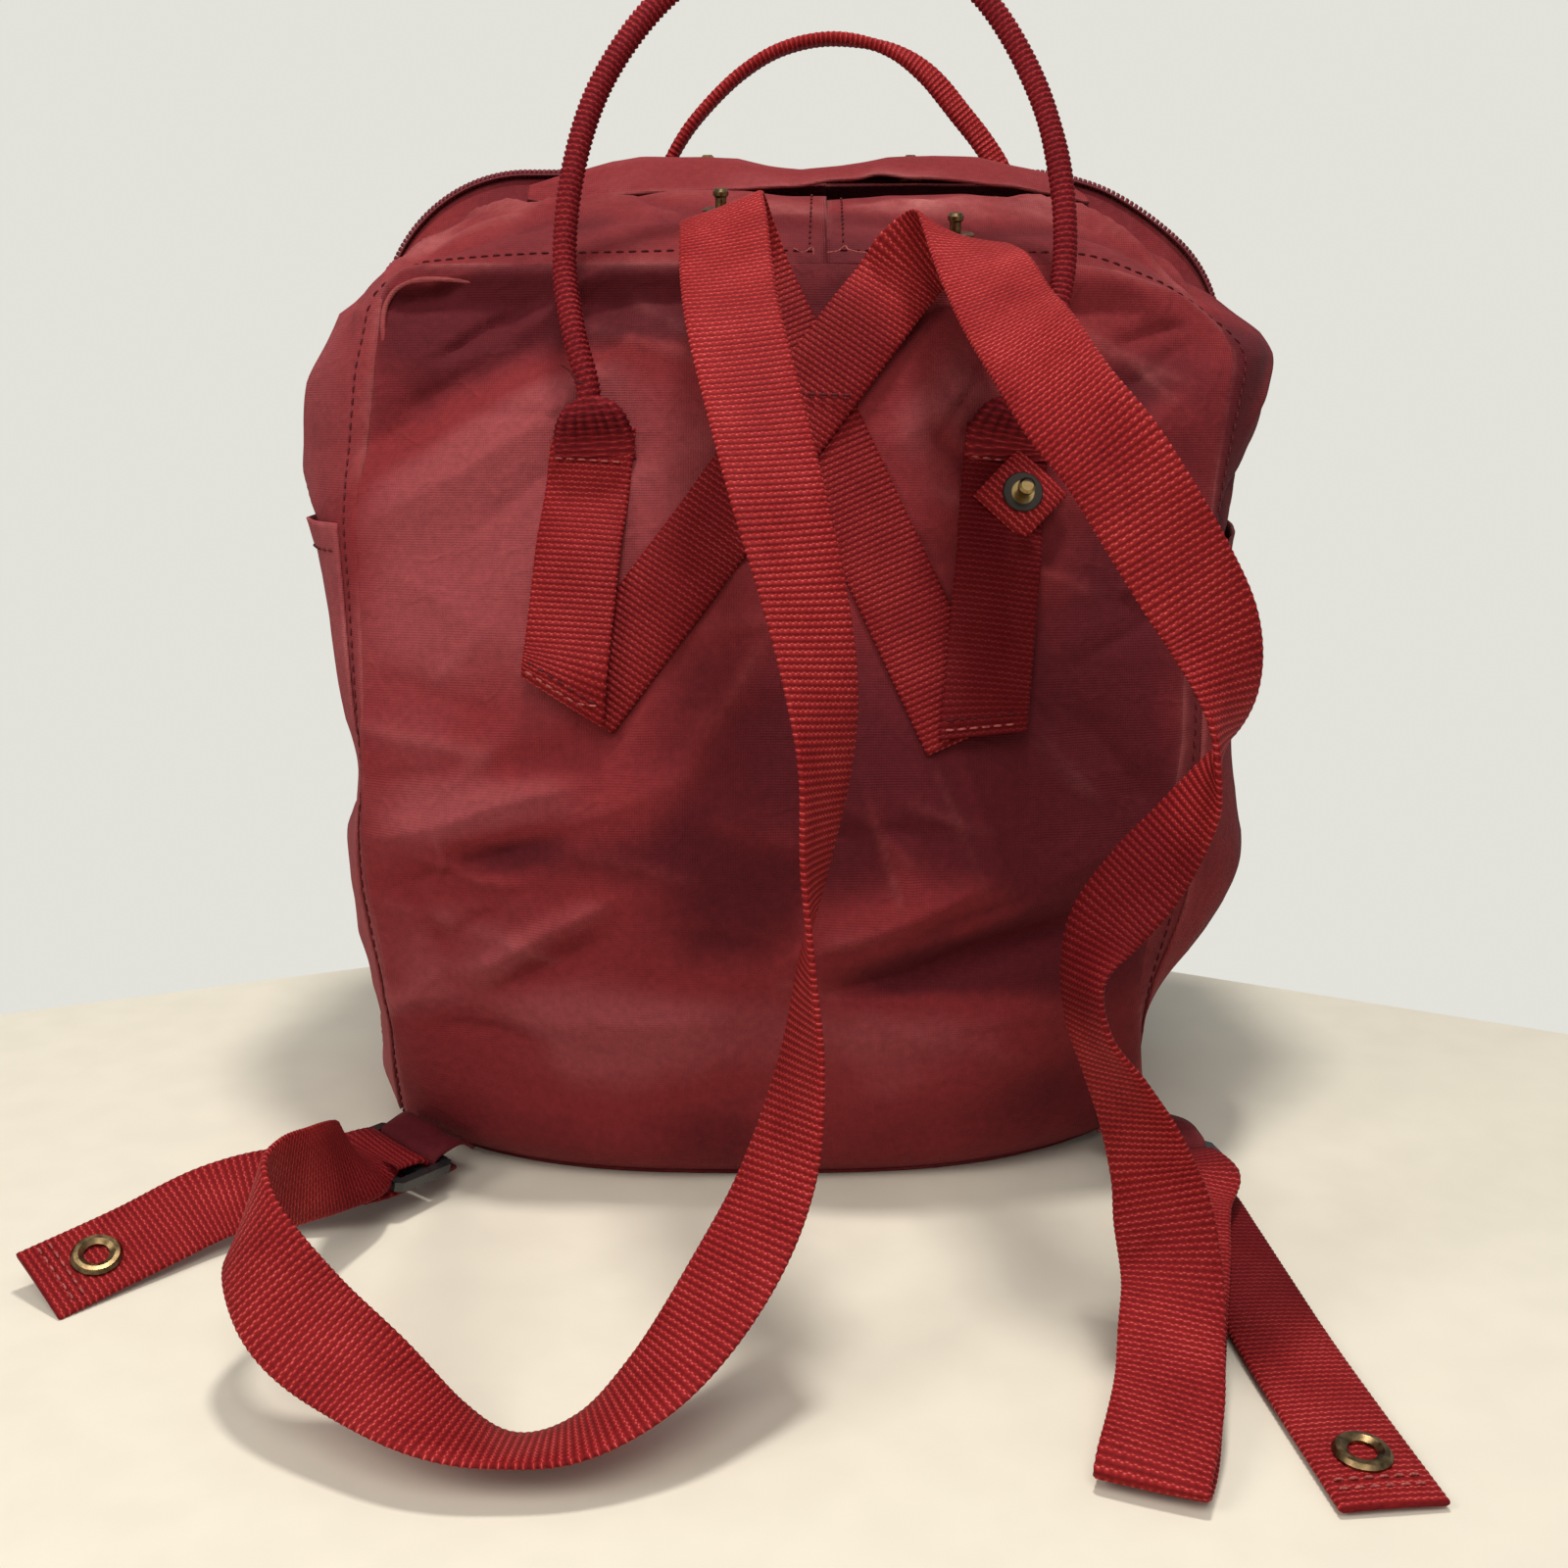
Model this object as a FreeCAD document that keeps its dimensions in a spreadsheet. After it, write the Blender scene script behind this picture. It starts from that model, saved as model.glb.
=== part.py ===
import FreeCAD, Part
import Sketcher
import math
import os
from FreeCAD import Placement, Rotation, Vector

# A square day pack of waxed canvas, standing on its base with its shoulder straps hanging to the floor.
# Frame: origin in the middle of the base on the floor, -Y is the strap side, +Z up, millimetres.

doc = FreeCAD.newDocument("SquareDayPack")
sheet = doc.addObject("Spreadsheet::Sheet", "Sizes")
doc_sizes = {}

SIZE_LIST = [
    ("back_height", 280.0, "back panel, floor to its top seam"),
    ("back_foot_half", 117.0, "half width of the back panel at the floor"),
    ("back_head_half", 135.0, "half width of the back panel at its top"),
    ("back_corner", 24.0, "radius of the back panel's top corners"),
    ("zip_height", 318.0, "floor to the top run of the main zip"),
    ("zip_foot_half", 129.0, "half width of the zip arch at the floor"),
    ("zip_head_half", 150.0, "half width of the zip arch at its top"),
    ("zip_corner", 50.0, "radius of the zip arch's corners"),
    ("sideways_lean", 14.0, "how far the slumped bag leans to the right at its top"),
    ("back_foot_depth", 61.0, "base centre back to the foot of the back panel"),
    ("back_slope", 54.0, "how far the back panel's top leans forward"),
    ("back_belly", 16.0, "how far the back panel bellies out low down"),
    ("back_wrap", 14.0, "how far the back panel's side edges turn forward"),
    ("zip_foot_depth", 50.0, "base centre forward to the zip at the floor"),
    ("zip_slope", 33.0, "how far the zip arch's top leans forward"),
    ("flap_depth", 14.0, "depth of the band between the zip and the front panel"),
    ("flap_draw", 3.0, "how far the front edge draws in from the zip arch"),
    ("flap_belly", 10.0, "how far the front panel bellies out"),
    ("side_swell", 20.0, "how far the sides swell out where they are fullest"),
    ("top_crown", 7.0, "how far the top swells up"),
    ("cloth", 1.0, "thickness of the waxed canvas with its lining"),
    ("seam_gap", 0.1, "gap between cloth edges that a seam closes"),
    ("lay_gap", 0.4, "gap between a layer and what it lies on"),
    ("webbing_width", 25.0, "width of the webbing"),
    ("webbing_thick", 1.6, "thickness of the webbing"),
    ("pad_thick", 4.0, "foam back pad"),
    ("pad_half", 92.0, "half width of the pad"),
    ("pad_top", 225.0, "height of the pad's top"),
    ("pad_foot", 8.0, "height of the pad's foot"),
    ("side_pocket_top", 203.0, "height of the side pockets' hem"),
    ("side_pocket_foot", 14.0, "height of the side pockets' foot"),
    ("front_pocket_top", 178.0, "height of the front pocket's mouth"),
    ("front_pocket_foot", 26.0, "height of the front pocket's foot"),
    ("front_pocket_half", 88.0, "half width of the front pocket"),
    ("front_pocket_depth", 16.0, "how far the front pocket stands open"),
    ("coil_width", 2.4, "width of each half of the zip"),
    ("coil_thick", 2.6, "thickness of the zip's coil"),
    ("zip_clear", 0.6, "gap from the zip's middle plane to each half"),
    ("zip_start", 8.0, "height where the zip ends at the sides"),
    ("slider_length", 8.0, "zip slider, along the zip"),
    ("slider_width", 8.4, "zip slider, across the zip"),
    ("slider_plate", 1.1, "thickness of the slider's plates"),
    ("slider_clear", 0.5, "gap from the slider's plates to the coil"),
    ("slider_place", 36.0, "middle of the top run to each slider"),
    ("bail_length", 4.6, "slider's bail, along the zip"),
    ("bail_width", 2.2, "slider's bail, across the zip"),
    ("bail_bore", 2.8, "hole in the bail"),
    ("bail_wall", 0.9, "metal round the bail's hole"),
    ("pull_length", 27.0, "zip pull"),
    ("pull_width", 6.4, "width of the pull"),
    ("pull_thick", 1.3, "thickness of the pull"),
    ("pull_bar", 1.4, "bar of the pull that goes through the bail"),
    ("handle_thick", 7.0, "rolled webbing of the back handle"),
    ("handle_root_height", 230.0, "height of the back handle's roots, on a back panel 280 high"),
    ("handle_rise", 150.0, "roots to the middle of the back handle's arch"),
    ("front_handle_width", 9.0, "folded webbing of the front handle"),
    ("front_handle_thick", 4.0, "thickness of the front handle"),
    ("front_root_drop", 24.0, "zip height down to the front handle's roots"),
    ("front_handle_rise", 73.0, "roots to the middle of the front handle's arch"),
    ("front_strip_length", 44.0, "webbing strip under a front handle root"),
    ("rain_flap_width", 24.0, "rain flap, seam to free edge"),
    ("post_diameter", 5.0, "stud post's head"),
    ("post_height", 6.0, "stud post above its washer"),
    ("neck_diameter", 3.6, "stud post's neck"),
    ("washer_diameter", 12.0, "stud's washer"),
    ("washer_thick", 0.8, "stud's washer, thickness"),
    ("ring_diameter", 13.5, "snap socket, outside"),
    ("ring_bore", 6.6, "snap socket, hole"),
    ("ring_thick", 1.8, "snap socket, height above the webbing"),
    ("tab_length", 20.0, "webbing tab of the handle stud"),
    ("buckle_bar", 3.0, "ladder buckle, bars and rails"),
    ("buckle_pitch", 9.5, "ladder buckle, bar to bar"),
    ("buckle_side", 0.5, "ladder buckle, webbing to rail"),
    ("wrap_gap", 1.1, "bar to the webbing that wraps it"),
]


def fill_sheet():
    for row, (alias, value, note) in enumerate(SIZE_LIST, start=1):
        sheet.set("A%d" % row, alias)
        sheet.set("B%d" % row, str(value))
        sheet.set("C%d" % row, note)
        sheet.setAlias("B%d" % row, alias)
    doc.recompute()
    for alias, value, note in SIZE_LIST:
        doc_sizes[alias] = float(sheet.get(alias))


def size(alias):
    return doc_sizes[alias]


fill_sheet()


# Outer form of the bag.

LEAN_SPAN = size("back_height")
BASE_TOP = size("cloth") + size("seam_gap")


def ease(low, high, value):
    part = min(1.0, max(0.0, (value - low) / (high - low)))
    return part * part * (3.0 - 2.0 * part)


def middle_x(z):
    return size("sideways_lean") * (z / LEAN_SPAN - 0.5)


def back_half(z):
    low, high = 0.14 * LEAN_SPAN, 0.86 * LEAN_SPAN
    return size("back_foot_half") + (size("back_head_half") - size("back_foot_half")) * ease(low, high, z)


def zip_half(z):
    low, high = 0.07 * LEAN_SPAN, 0.89 * LEAN_SPAN
    return size("zip_foot_half") + (size("zip_head_half") - size("zip_foot_half")) * ease(low, high, z)


def back_y(x, z):
    # The panel leans forward, bellies out low down, and its side edges turn forward.
    rise = max(z, 0.0) / LEAN_SPAN
    across = abs(x - middle_x(z)) / back_half(min(z, size("back_height")))
    belly = size("back_belly") * math.exp(-((rise - 0.375) / 0.28) ** 2)
    wrap = size("back_wrap") * (1.0 + 1.57 * math.exp(-11.0 * rise)) * across ** 3
    return -size("back_foot_depth") + size("back_slope") * rise ** 2.2 - belly + wrap


def zip_y(z):
    # The zip arch lies in one leaning plane, so the front opens away from it.
    return size("zip_foot_depth") + size("zip_slope") * z / size("zip_height")


def front_half(z):
    return zip_half(z) - size("flap_draw")


def front_y(x, z):
    across = min(1.0, abs(x - middle_x(z)) / front_half(z))
    up = math.sin(math.pi * min(1.0, max(0.0, z / front_top()))) ** 0.7
    return zip_y(z) + size("flap_depth") + size("flap_belly") * (1.0 - across ** 2) * up


def front_top():
    return size("zip_height") - size("flap_draw")


def arch(place, foot, top, radius, half):
    # Half an arch: side from 0 to 1, corner from 1 to 2, top from 2 to 3. Gives offset, height and normal.
    if place <= 1.0:
        z = foot + (top - radius - foot) * place
        return half(z), z, 1.0, 0.0
    if place <= 2.0:
        turn = math.radians(90.0 * (place - 1.0))
        centre = half(top) - radius
        return (centre + radius * math.cos(turn), top - radius + radius * math.sin(turn),
                math.cos(turn), math.sin(turn))
    return (half(top) - radius) * (3.0 - place), top, 0.0, 1.0


def back_arch(place, foot):
    return arch(place, foot, size("back_height"), size("back_corner"), back_half)


def zip_arch(place, foot):
    return arch(place, foot, size("zip_height"), size("zip_corner"), zip_half)


def front_arch(place, foot):
    return arch(place, foot, front_top(), size("zip_corner"), front_half)


# Share of the swell that is lost halfway round the top corners.
CORNER_HOLLOW = 0.85
# How far each slumped side swells out, at even steps of height, for a bag whose fullest swell is 20.
SWELL_STEP = 30.0 / 280.0
SWELL_FULL = 20.0
SIDE_SWELLS = {
    -1: [4.0, 5.5, 5.5, 7.2, 6.5, 7.0, 10.0, 16.5, 20.0, 11.0],
    1: [4.0, 3.5, 7.0, 16.5, 17.0, 11.5, 6.5, 7.5, 12.5, 7.0],
}


def side_swell(side, z):
    # A smooth curve through the steps: a cubic between each two, with slopes from their neighbours.
    table = SIDE_SWELLS[side]
    place = min(max(z, 0.0) / LEAN_SPAN / SWELL_STEP, len(table) - 1.001)
    step = int(place)
    part = place - step
    before, low, high, after = (table[min(max(step + k, 0), len(table) - 1)] for k in (-1, 0, 1, 2))
    slope = (high - before) / 2
    turn = before - 2.5 * low + 2 * high - after / 2
    curl = (after - before) / 2 + 1.5 * (low - high)
    amount = low + slope * part + turn * part ** 2 + curl * part ** 3
    return amount * size("side_swell") / SWELL_FULL


def swell(side, z, normal_x, normal_z, along):
    # The sides swell by their table, the top has its own crown, and the corners sag.
    skew = 0.72 + 0.28 * normal_z ** 2
    amount = side_swell(side, z) * normal_x ** 2 + size("top_crown") * normal_z ** 2
    corner = (2.0 * normal_x * normal_z) ** 2
    return amount * (1.0 - CORNER_HOLLOW * corner) * math.sin(math.pi * along ** skew)


def gusset_point(side, place, along, lift=0.0):
    # From the back seam (along 0) to the zip (along 1), lifted outwards by lift.
    foot = BASE_TOP
    bx, bz, bnx, bnz = back_arch(place, foot)
    fx, fz, fnx, fnz = zip_arch(place, foot)
    start = Vector(middle_x(bz) + side * bx, 0.0, bz)
    end = Vector(middle_x(fz) + side * fx, 0.0, fz)
    start.y = back_y(start.x, bz) + size("cloth") + size("seam_gap")
    end.y = zip_y(fz) - size("zip_clear") - size("coil_width") - size("seam_gap")
    normal = Vector(side * (bnx * (1 - along) + fnx * along), 0.0, bnz * (1 - along) + fnz * along)
    normal.normalize()
    point = start * (1 - along) + end * along
    out = swell(side, point.z, normal.x, normal.z, along) + lift
    return point + normal * out


def back_point(x, z, lift):
    # A point lifted off the back panel, with the panel's outward normal there.
    step = 1.0
    slope_x = (back_y(x + step, z) - back_y(x - step, z)) / (2 * step)
    slope_z = (back_y(x, z + step) - back_y(x, z - step)) / (2 * step)
    normal = Vector(slope_x, -1.0, slope_z)
    normal.normalize()
    return Vector(x, back_y(x, z), z) + normal * lift, normal


# Builders for cloth, webbing and tubes.


def grid_surface(grid):
    surface = Part.BSplineSurface()
    surface.interpolate(grid)
    return surface


def cloth_solid(outer, inner):
    # A closed cloth sheet between two smooth surfaces, with ruled edges.
    skins = [grid_surface(outer), grid_surface(inner)]
    faces = [skin.toShape() for skin in skins]
    u0, u1, v0, v1 = skins[0].bounds()
    a0, a1, b0, b1 = skins[1].bounds()
    edges = [
        (skins[0].uIso(u0), skins[1].uIso(a0)),
        (skins[0].uIso(u1), skins[1].uIso(a1)),
        (skins[0].vIso(v0), skins[1].vIso(b0)),
        (skins[0].vIso(v1), skins[1].vIso(b1)),
    ]
    for first, second in edges:
        faces.append(Part.makeRuledSurface(first.toShape(), second.toShape()))
    return closed_solid(faces)


def ribbon_solid(stations, width, thick):
    # Flat webbing through stations of (centre, width direction, face normal), with ruled faces between them.
    rings = []
    for centre, across, normal in stations:
        a = across * (width / 2)
        n = normal * (thick / 2)
        rings.append([centre - a - n, centre + a - n, centre + a + n, centre - a + n])
    faces = []
    for ring, after in zip(rings, rings[1:]):
        for i in range(4):
            j = (i + 1) % 4
            faces.append(ruled_face(ring[i], ring[j], after[i], after[j]))
    for ring in (rings[0], rings[-1]):
        faces.append(Part.Face(Part.makePolygon(ring + ring[:1])))
    return closed_solid(faces)


def ruled_face(a, b, c, d):
    # The straight-line surface through four corners: a to b, and c to d.
    surface = Part.BSplineSurface()
    surface.buildFromPolesMultsKnots([[a, b], [c, d]], [2, 2], [2, 2], [0.0, 1.0], [0.0, 1.0],
                                     False, False, 1, 1)
    return surface.toShape()


def closed_solid(faces):
    sewn = Part.makeCompound(faces)
    sewn.sewShape(0.001)
    solid = Part.makeSolid(sewn.Shells[0])
    if solid.Volume < 0:
        solid.reverse()
    return solid


def free_stations(points, first_across):
    # Stations of a free ribbon from (centre, rough width direction) pairs.
    stations = []
    last = first_across
    for i, (centre, across) in enumerate(points):
        before = points[max(i - 1, 0)][0]
        after = points[min(i + 1, len(points) - 1)][0]
        along = (after - before).normalize()
        across = (across - along * across.dot(along)).normalize()
        if across.dot(last) < 0:
            across = across * -1
        last = across
        stations.append((centre, across, along.cross(across).normalize()))
    return stations


def tube_solid(points, radius):
    # A round tube along straight runs joined by tangent arcs.
    edges = []
    start = points[0]
    for i in range(1, len(points) - 1):
        a, b, c = points[i - 1], points[i], points[i + 1]
        back = (a - b)
        ahead = (c - b)
        trim = 0.45 * min(back.Length, ahead.Length)
        enter = b + back.normalize() * trim
        leave = b + ahead.normalize() * trim
        half_turn = (math.pi - back.getAngle(ahead)) / 2
        bend = trim / math.tan(half_turn)
        inward = (back + ahead).normalize()
        centre = b + inward * (bend / math.cos(half_turn))
        middle = centre - inward * bend
        edges.append(Part.LineSegment(start, enter).toShape())
        edges.append(Part.Arc(enter, middle, leave).toShape())
        start = leave
    edges.append(Part.LineSegment(start, points[-1]).toShape())
    path = Part.Wire(edges)
    ring = Part.Wire(Part.makeCircle(radius, points[0], points[1] - points[0]))
    return path.makePipeShell([ring], True, False)


def place_frame(origin, x_dir, z_dir):
    # Placement that puts local X and Z along the given directions.
    z_axis = Vector(z_dir).normalize()
    x_axis = Vector(x_dir)
    x_axis = (x_axis - z_axis * x_axis.dot(z_axis)).normalize()
    y_axis = z_axis.cross(x_axis)
    return Placement(origin, Rotation(x_axis, y_axis, z_axis, "ZXY"))


def add_shape(name, shape):
    piece = doc.addObject("Part::Feature", name)
    piece.Label = name
    piece.Shape = shape
    piece.Placement = Placement()
    pieces.append(piece)
    return piece


pieces = []


# Canvas panels.


def panel_grid(half, top, radius, foot, depth, columns=11, rows=9, arc_rows=6):
    # Points over a panel with two round top corners; depth gives y from x and z.
    heights = [foot + (top - radius - foot) * i / (rows - 1) for i in range(rows)]
    widths = [half(z) for z in heights]
    for i in range(1, arc_rows + 1):
        turn = math.radians(90.0 * i / arc_rows)
        heights.append(top - radius + radius * math.sin(turn))
        widths.append(half(top) - radius + radius * math.cos(turn))
    grid = []
    for z, w in zip(heights, widths):
        row = []
        for j in range(columns):
            x = middle_x(z) + w * (2.0 * j / (columns - 1) - 1.0)
            row.append(Vector(x, depth(x, z), z))
        grid.append(row)
    return grid


def plain_grid(low, high, half, depth, columns=9, rows=9):
    grid = []
    for i in range(rows):
        z = low + (high - low) * i / (rows - 1)
        row = []
        for j in range(columns):
            x = middle_x(z) + half * (2.0 * j / (columns - 1) - 1.0)
            row.append(Vector(x, depth(x, z), z))
        grid.append(row)
    return grid


def sheet_from(grid, thick):
    return grid_surface(grid).toShape().extrude(Vector(0, thick, 0))


def make_back_panel():
    grid = panel_grid(back_half, size("back_height"), size("back_corner"), BASE_TOP, back_y)
    add_shape("back_panel", sheet_from(grid, size("cloth")))


def make_base_panel():
    # The base follows the back panel's foot and reaches forward under the front panel.
    half = size("back_foot_half")
    steps = 12
    back_edge = []
    for i in range(steps + 1):
        x = middle_x(0.0) + half * (2.0 * i / steps - 1.0)
        back_edge.append(Vector(x, back_y(x, 0.0), 0.0))
    curve = Part.BSplineCurve()
    curve.interpolate(back_edge)
    front = zip_y(0.0) + size("flap_depth") - size("seam_gap")
    front_half_width = size("zip_foot_half")
    right = Vector(middle_x(0.0) + front_half_width, zip_y(0.0), 0.0)
    right_front = Vector(middle_x(0.0) + front_half_width - size("flap_draw"), front, 0.0)
    left = Vector(middle_x(0.0) - front_half_width, zip_y(0.0), 0.0)
    left_front = Vector(middle_x(0.0) - front_half_width + size("flap_draw"), front, 0.0)
    edges = [
        curve.toShape(),
        Part.LineSegment(back_edge[-1], right).toShape(),
        Part.LineSegment(right, right_front).toShape(),
        Part.LineSegment(right_front, left_front).toShape(),
        Part.LineSegment(left_front, left).toShape(),
        Part.LineSegment(left, back_edge[0]).toShape(),
    ]
    add_shape("base_panel", Part.Face(Part.Wire(edges)).extrude(Vector(0, 0, size("cloth"))))


GUSSET_PLACES = [
    0.0, 0.04, 0.09, 0.15, 0.22, 0.3, 0.39, 0.48, 0.57, 0.66, 0.75, 0.84, 0.92, 1.0,
    1.12, 1.25, 1.38, 1.5, 1.62, 1.75, 1.88, 2.0, 2.12, 2.25, 2.4, 2.6, 2.8, 3.0,
]
GUSSET_STEPS = [0.0, 0.06, 0.14, 0.24, 0.36, 0.5, 0.64, 0.76, 0.88, 1.0]


def make_gusset(name, side):
    seam_x = size("seam_gap") / 2 * side

    def skin(lift):
        grid = []
        for place in GUSSET_PLACES:
            row = [gusset_point(side, place, along, lift) for along in GUSSET_STEPS]
            if place == GUSSET_PLACES[-1]:
                row = [Vector(p.x + seam_x, p.y, p.z) for p in row]
            grid.append(row)
        return grid

    add_shape(name, cloth_solid(skin(0.0), skin(-size("cloth"))))


def make_side_pocket(name, side):
    # An open pocket that lies flat on the gusset, up to its hem.
    top = size("side_pocket_top")
    foot = size("side_pocket_foot")
    side_run = size("zip_height") - size("zip_corner") - BASE_TOP
    steps = [0.1, 0.17, 0.25, 0.36, 0.48, 0.6, 0.72, 0.8, 0.86]
    rows = 15

    def skin(lift):
        grid = []
        for i in range(rows):
            place = (foot + (top - foot) * i / (rows - 1) - BASE_TOP) / side_run
            grid.append([gusset_point(side, place, along, lift) for along in steps])
        return grid

    gap = size("lay_gap") * 1.5
    add_shape(name, cloth_solid(skin(gap + size("cloth")), skin(gap)))


def make_pad_and_sleeve():
    gap = size("lay_gap")
    pad_face = size("cloth") + gap
    sleeve_face = pad_face + size("pad_thick") + gap

    def pad_y(x, z):
        return back_y(x, z) + pad_face

    def sleeve_y(x, z):
        return back_y(x, z) + sleeve_face

    pad = plain_grid(size("pad_foot"), size("pad_top"), size("pad_half"), pad_y)
    add_shape("foam_back_pad", sheet_from(pad, size("pad_thick")))
    over = size("cloth") * 4
    foot, top = size("pad_foot") - over / 2, size("pad_top") - over
    sleeve = plain_grid(foot, top, size("pad_half") + over, sleeve_y)
    add_shape("pad_sleeve", sheet_from(sleeve, size("cloth")))


# Main zip, flap band, front panel and its pocket.

ARCH_PLACES = [0.0, 0.15, 0.3, 0.45, 0.6, 0.75, 0.88, 1.0, 1.13, 1.26, 1.39, 1.52, 1.65, 1.78, 1.9, 2.0, 2.5]


def full_arch():
    # Places along the whole arch, from the left foot over the top to the right foot, as (side, place).
    left = [(-1, place) for place in ARCH_PLACES]
    right = [(1, place) for place in reversed(ARCH_PLACES)]
    return left + [(1, 3.0)] + right


def zip_line(side, place, shift):
    fx, z, nx, nz = zip_arch(place, size("zip_start"))
    lean = Vector(0.0, size("zip_height"), -size("zip_slope")).normalize()
    normal = Vector(side * nx, 0.0, nz).normalize()
    point = Vector(middle_x(z) + side * fx, zip_y(z), z)
    return point + Vector(0, shift, 0), lean, normal


def make_zip_half(name, shift):
    stations = []
    for side, place in full_arch():
        centre, lean, normal = zip_line(side, place, shift)
        across = (lean - normal * lean.dot(normal)).normalize()
        stations.append((centre - normal * (size("cloth") / 2), across, normal))
    add_shape(name, ribbon_solid(stations, size("coil_width"), size("coil_thick")))


def make_flap_band():
    first = size("zip_clear") + size("coil_width") + size("seam_gap")

    def skin(lift):
        grid = []
        for side, place in full_arch():
            row = []
            zx, zz, znx, znz = zip_arch(place, size("zip_start"))
            fx, fz, fnx, fnz = front_arch(place, size("zip_start"))
            start = Vector(middle_x(zz) + side * zx, zip_y(zz) + first, zz)
            end = Vector(middle_x(fz) + side * fx, zip_y(fz) + size("flap_depth"), fz)
            normal = Vector(side * znx, 0.0, znz).normalize()
            for along in (0.0, 0.35, 0.7, 1.0):
                row.append(start * (1 - along) + end * along + normal * lift)
            grid.append(row)
        return grid

    add_shape("flap_band", cloth_solid(skin(0.0), skin(-size("cloth"))))


def front_face_y(x, z):
    return front_y(x, z) + size("seam_gap")


def make_front_panel():
    foot = BASE_TOP + size("lay_gap") * 2
    grid = panel_grid(front_half, front_top(), size("zip_corner"), foot, front_face_y)
    add_shape("front_panel", sheet_from(grid, size("cloth")))


def pocket_gap(x, z):
    # The pocket stands open at its mouth and closes to its sewn sides and foot.
    across = (x - middle_x(z)) / size("front_pocket_half")
    rise = ease(size("front_pocket_foot"), size("front_pocket_foot") + 90.0, z)
    return size("front_pocket_depth") * max(0.0, 1.0 - across ** 4) * rise


def pocket_y(x, z):
    return front_face_y(x, z) + size("cloth") + size("lay_gap") + pocket_gap(x, z)


def make_front_pocket():
    foot, top = size("front_pocket_foot"), size("front_pocket_top")
    grid = plain_grid(foot, top, size("front_pocket_half"), pocket_y, columns=15, rows=10)
    add_shape("front_pocket", sheet_from(grid, size("cloth")))


RAIN_FLAP_SEAM = 0.93


def make_rain_flap():
    # A lip of cloth sewn behind the straight top run of the zip, lying over the gusset.
    depth = gusset_point(1, 3.0, 1.0).y - gusset_point(1, 3.0, 0.0).y
    reach = size("rain_flap_width") / depth
    places = [2.05, 2.2, 2.4, 2.6, 2.8]
    spots = [(-1, place) for place in places] + [(1, 3.0)] + [(1, place) for place in reversed(places)]

    def skin(extra):
        grid = []
        for side, place in spots:
            row = []
            for part in (0.0, 0.25, 0.5, 0.75, 1.0):
                lift = size("lay_gap") * 2 + size("cloth") * 2.5 * part ** 2 + extra
                row.append(gusset_point(side, place, RAIN_FLAP_SEAM - reach * part, lift))
            grid.append(row)
        return grid

    add_shape("rain_flap", cloth_solid(skin(size("cloth")), skin(0.0)))


def top_spot(x, y):
    # The point of the crowned top straight above (x, y).
    side = 1 if x > middle_x(size("zip_height")) else -1
    place = 3.0
    along = 0.5
    for _ in range(20):
        point = gusset_point(side, place, along)
        across = gusset_point(side, place - 0.01, along)
        ahead = gusset_point(side, place, along + 0.01)
        along = min(1.0, max(0.0, along + 0.01 * (y - point.y) / (ahead.y - point.y)))
        place = min(3.0, place - 0.01 * (x - point.x) / (across.x - point.x))
    return gusset_point(side, place, along)


# Webbing sewn to the back panel, and the shoulder straps.


def back_scale():
    # Heights of what hangs on the back panel go with its own height.
    return size("back_height") / ROUTE_HEIGHT


def sewn_stations(start, end, steps, lift):
    # A straight strip over the back panel between two (x, z) points; lift gives its height above the panel.
    stations = []
    for i in range(steps + 1):
        t = i / steps
        x = start[0] + (end[0] - start[0]) * t
        z = (start[1] + (end[1] - start[1]) * t) * back_scale()
        point, normal = back_point(x, z, lift(t))
        ahead, other = back_point(x + (end[0] - start[0]) * 0.01, z + (end[1] - start[1]) * 0.01, lift(t))
        along = (ahead - point).normalize()
        across = normal.cross(along).normalize()
        stations.append((point, across, along.cross(across).normalize()))
    return stations


# Back height at which the straps' routes were taken.
ROUTE_HEIGHT = 280.0
ROUTE_DEPTH = 61.0

LEFT_ROUTE = [
    ((-12.5, -9.5, 280.5), (.84, 0, .5)), ((-15, -11, 287), (.9, 0, .4)),
    ((-17, -16.5, 292), (.94, 0, .34)), ((-18, -29.5, 292), (.94, 0, .34)),
    ((-17, -46, 285), (.95, .05, .28)), ((-15.5, -66, 271), (.98, .1, .18)),
    ((-13, -84, 257), (.98, .17, .15)), ((-8.5, -99, 240), (.96, .23, .13)),
    ((-1.2, -119, 213), (.92, .38, .06)), ((5, -130, 190), (.83, .56, 0)),
    ((9, -138, 168), (.69, .72, -.06)), ((9.7, -142, 150), (.5, .86, -.09)),
    ((7.5, -144.5, 128), (.28, .96, -.09)), ((5.5, -148, 104), (-.08, .98, -.15)),
    ((3.9, -153, 79), (-.4, .9, -.16)), ((-2, -162, 54), (-.68, .72, -.08)),
    ((-12.5, -175, 36), (-.77, .63, -.03)), ((-28.8, -190, 19), (-.66, .73, -.17)),
    ((-46, -198, 9), (-.35, .88, -.3)), ((-62, -200, 7), (.05, .93, -.36)),
    ((-78, -198, 11.5), (.28, .93, -.15)), ((-97, -190, 20), (.38, .85, .3)),
    ((-112, -183, 28), (.5, .6, .62)), ((-122, -176, 36), (.58, .25, .78)),
    ((-129, -167, 42), (.5, .05, .86)), ((-131.5, -156, 44), (.3, .05, .95)),
    ((-130, -143, 42), (.12, .15, .98)), ((-127.5, -125, 36), (0, .28, .95)),
    ((-125.5, -106, 29), (-.25, .42, .87)), ((-124, -90, 23), (-.55, .52, .6)),
]
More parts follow.
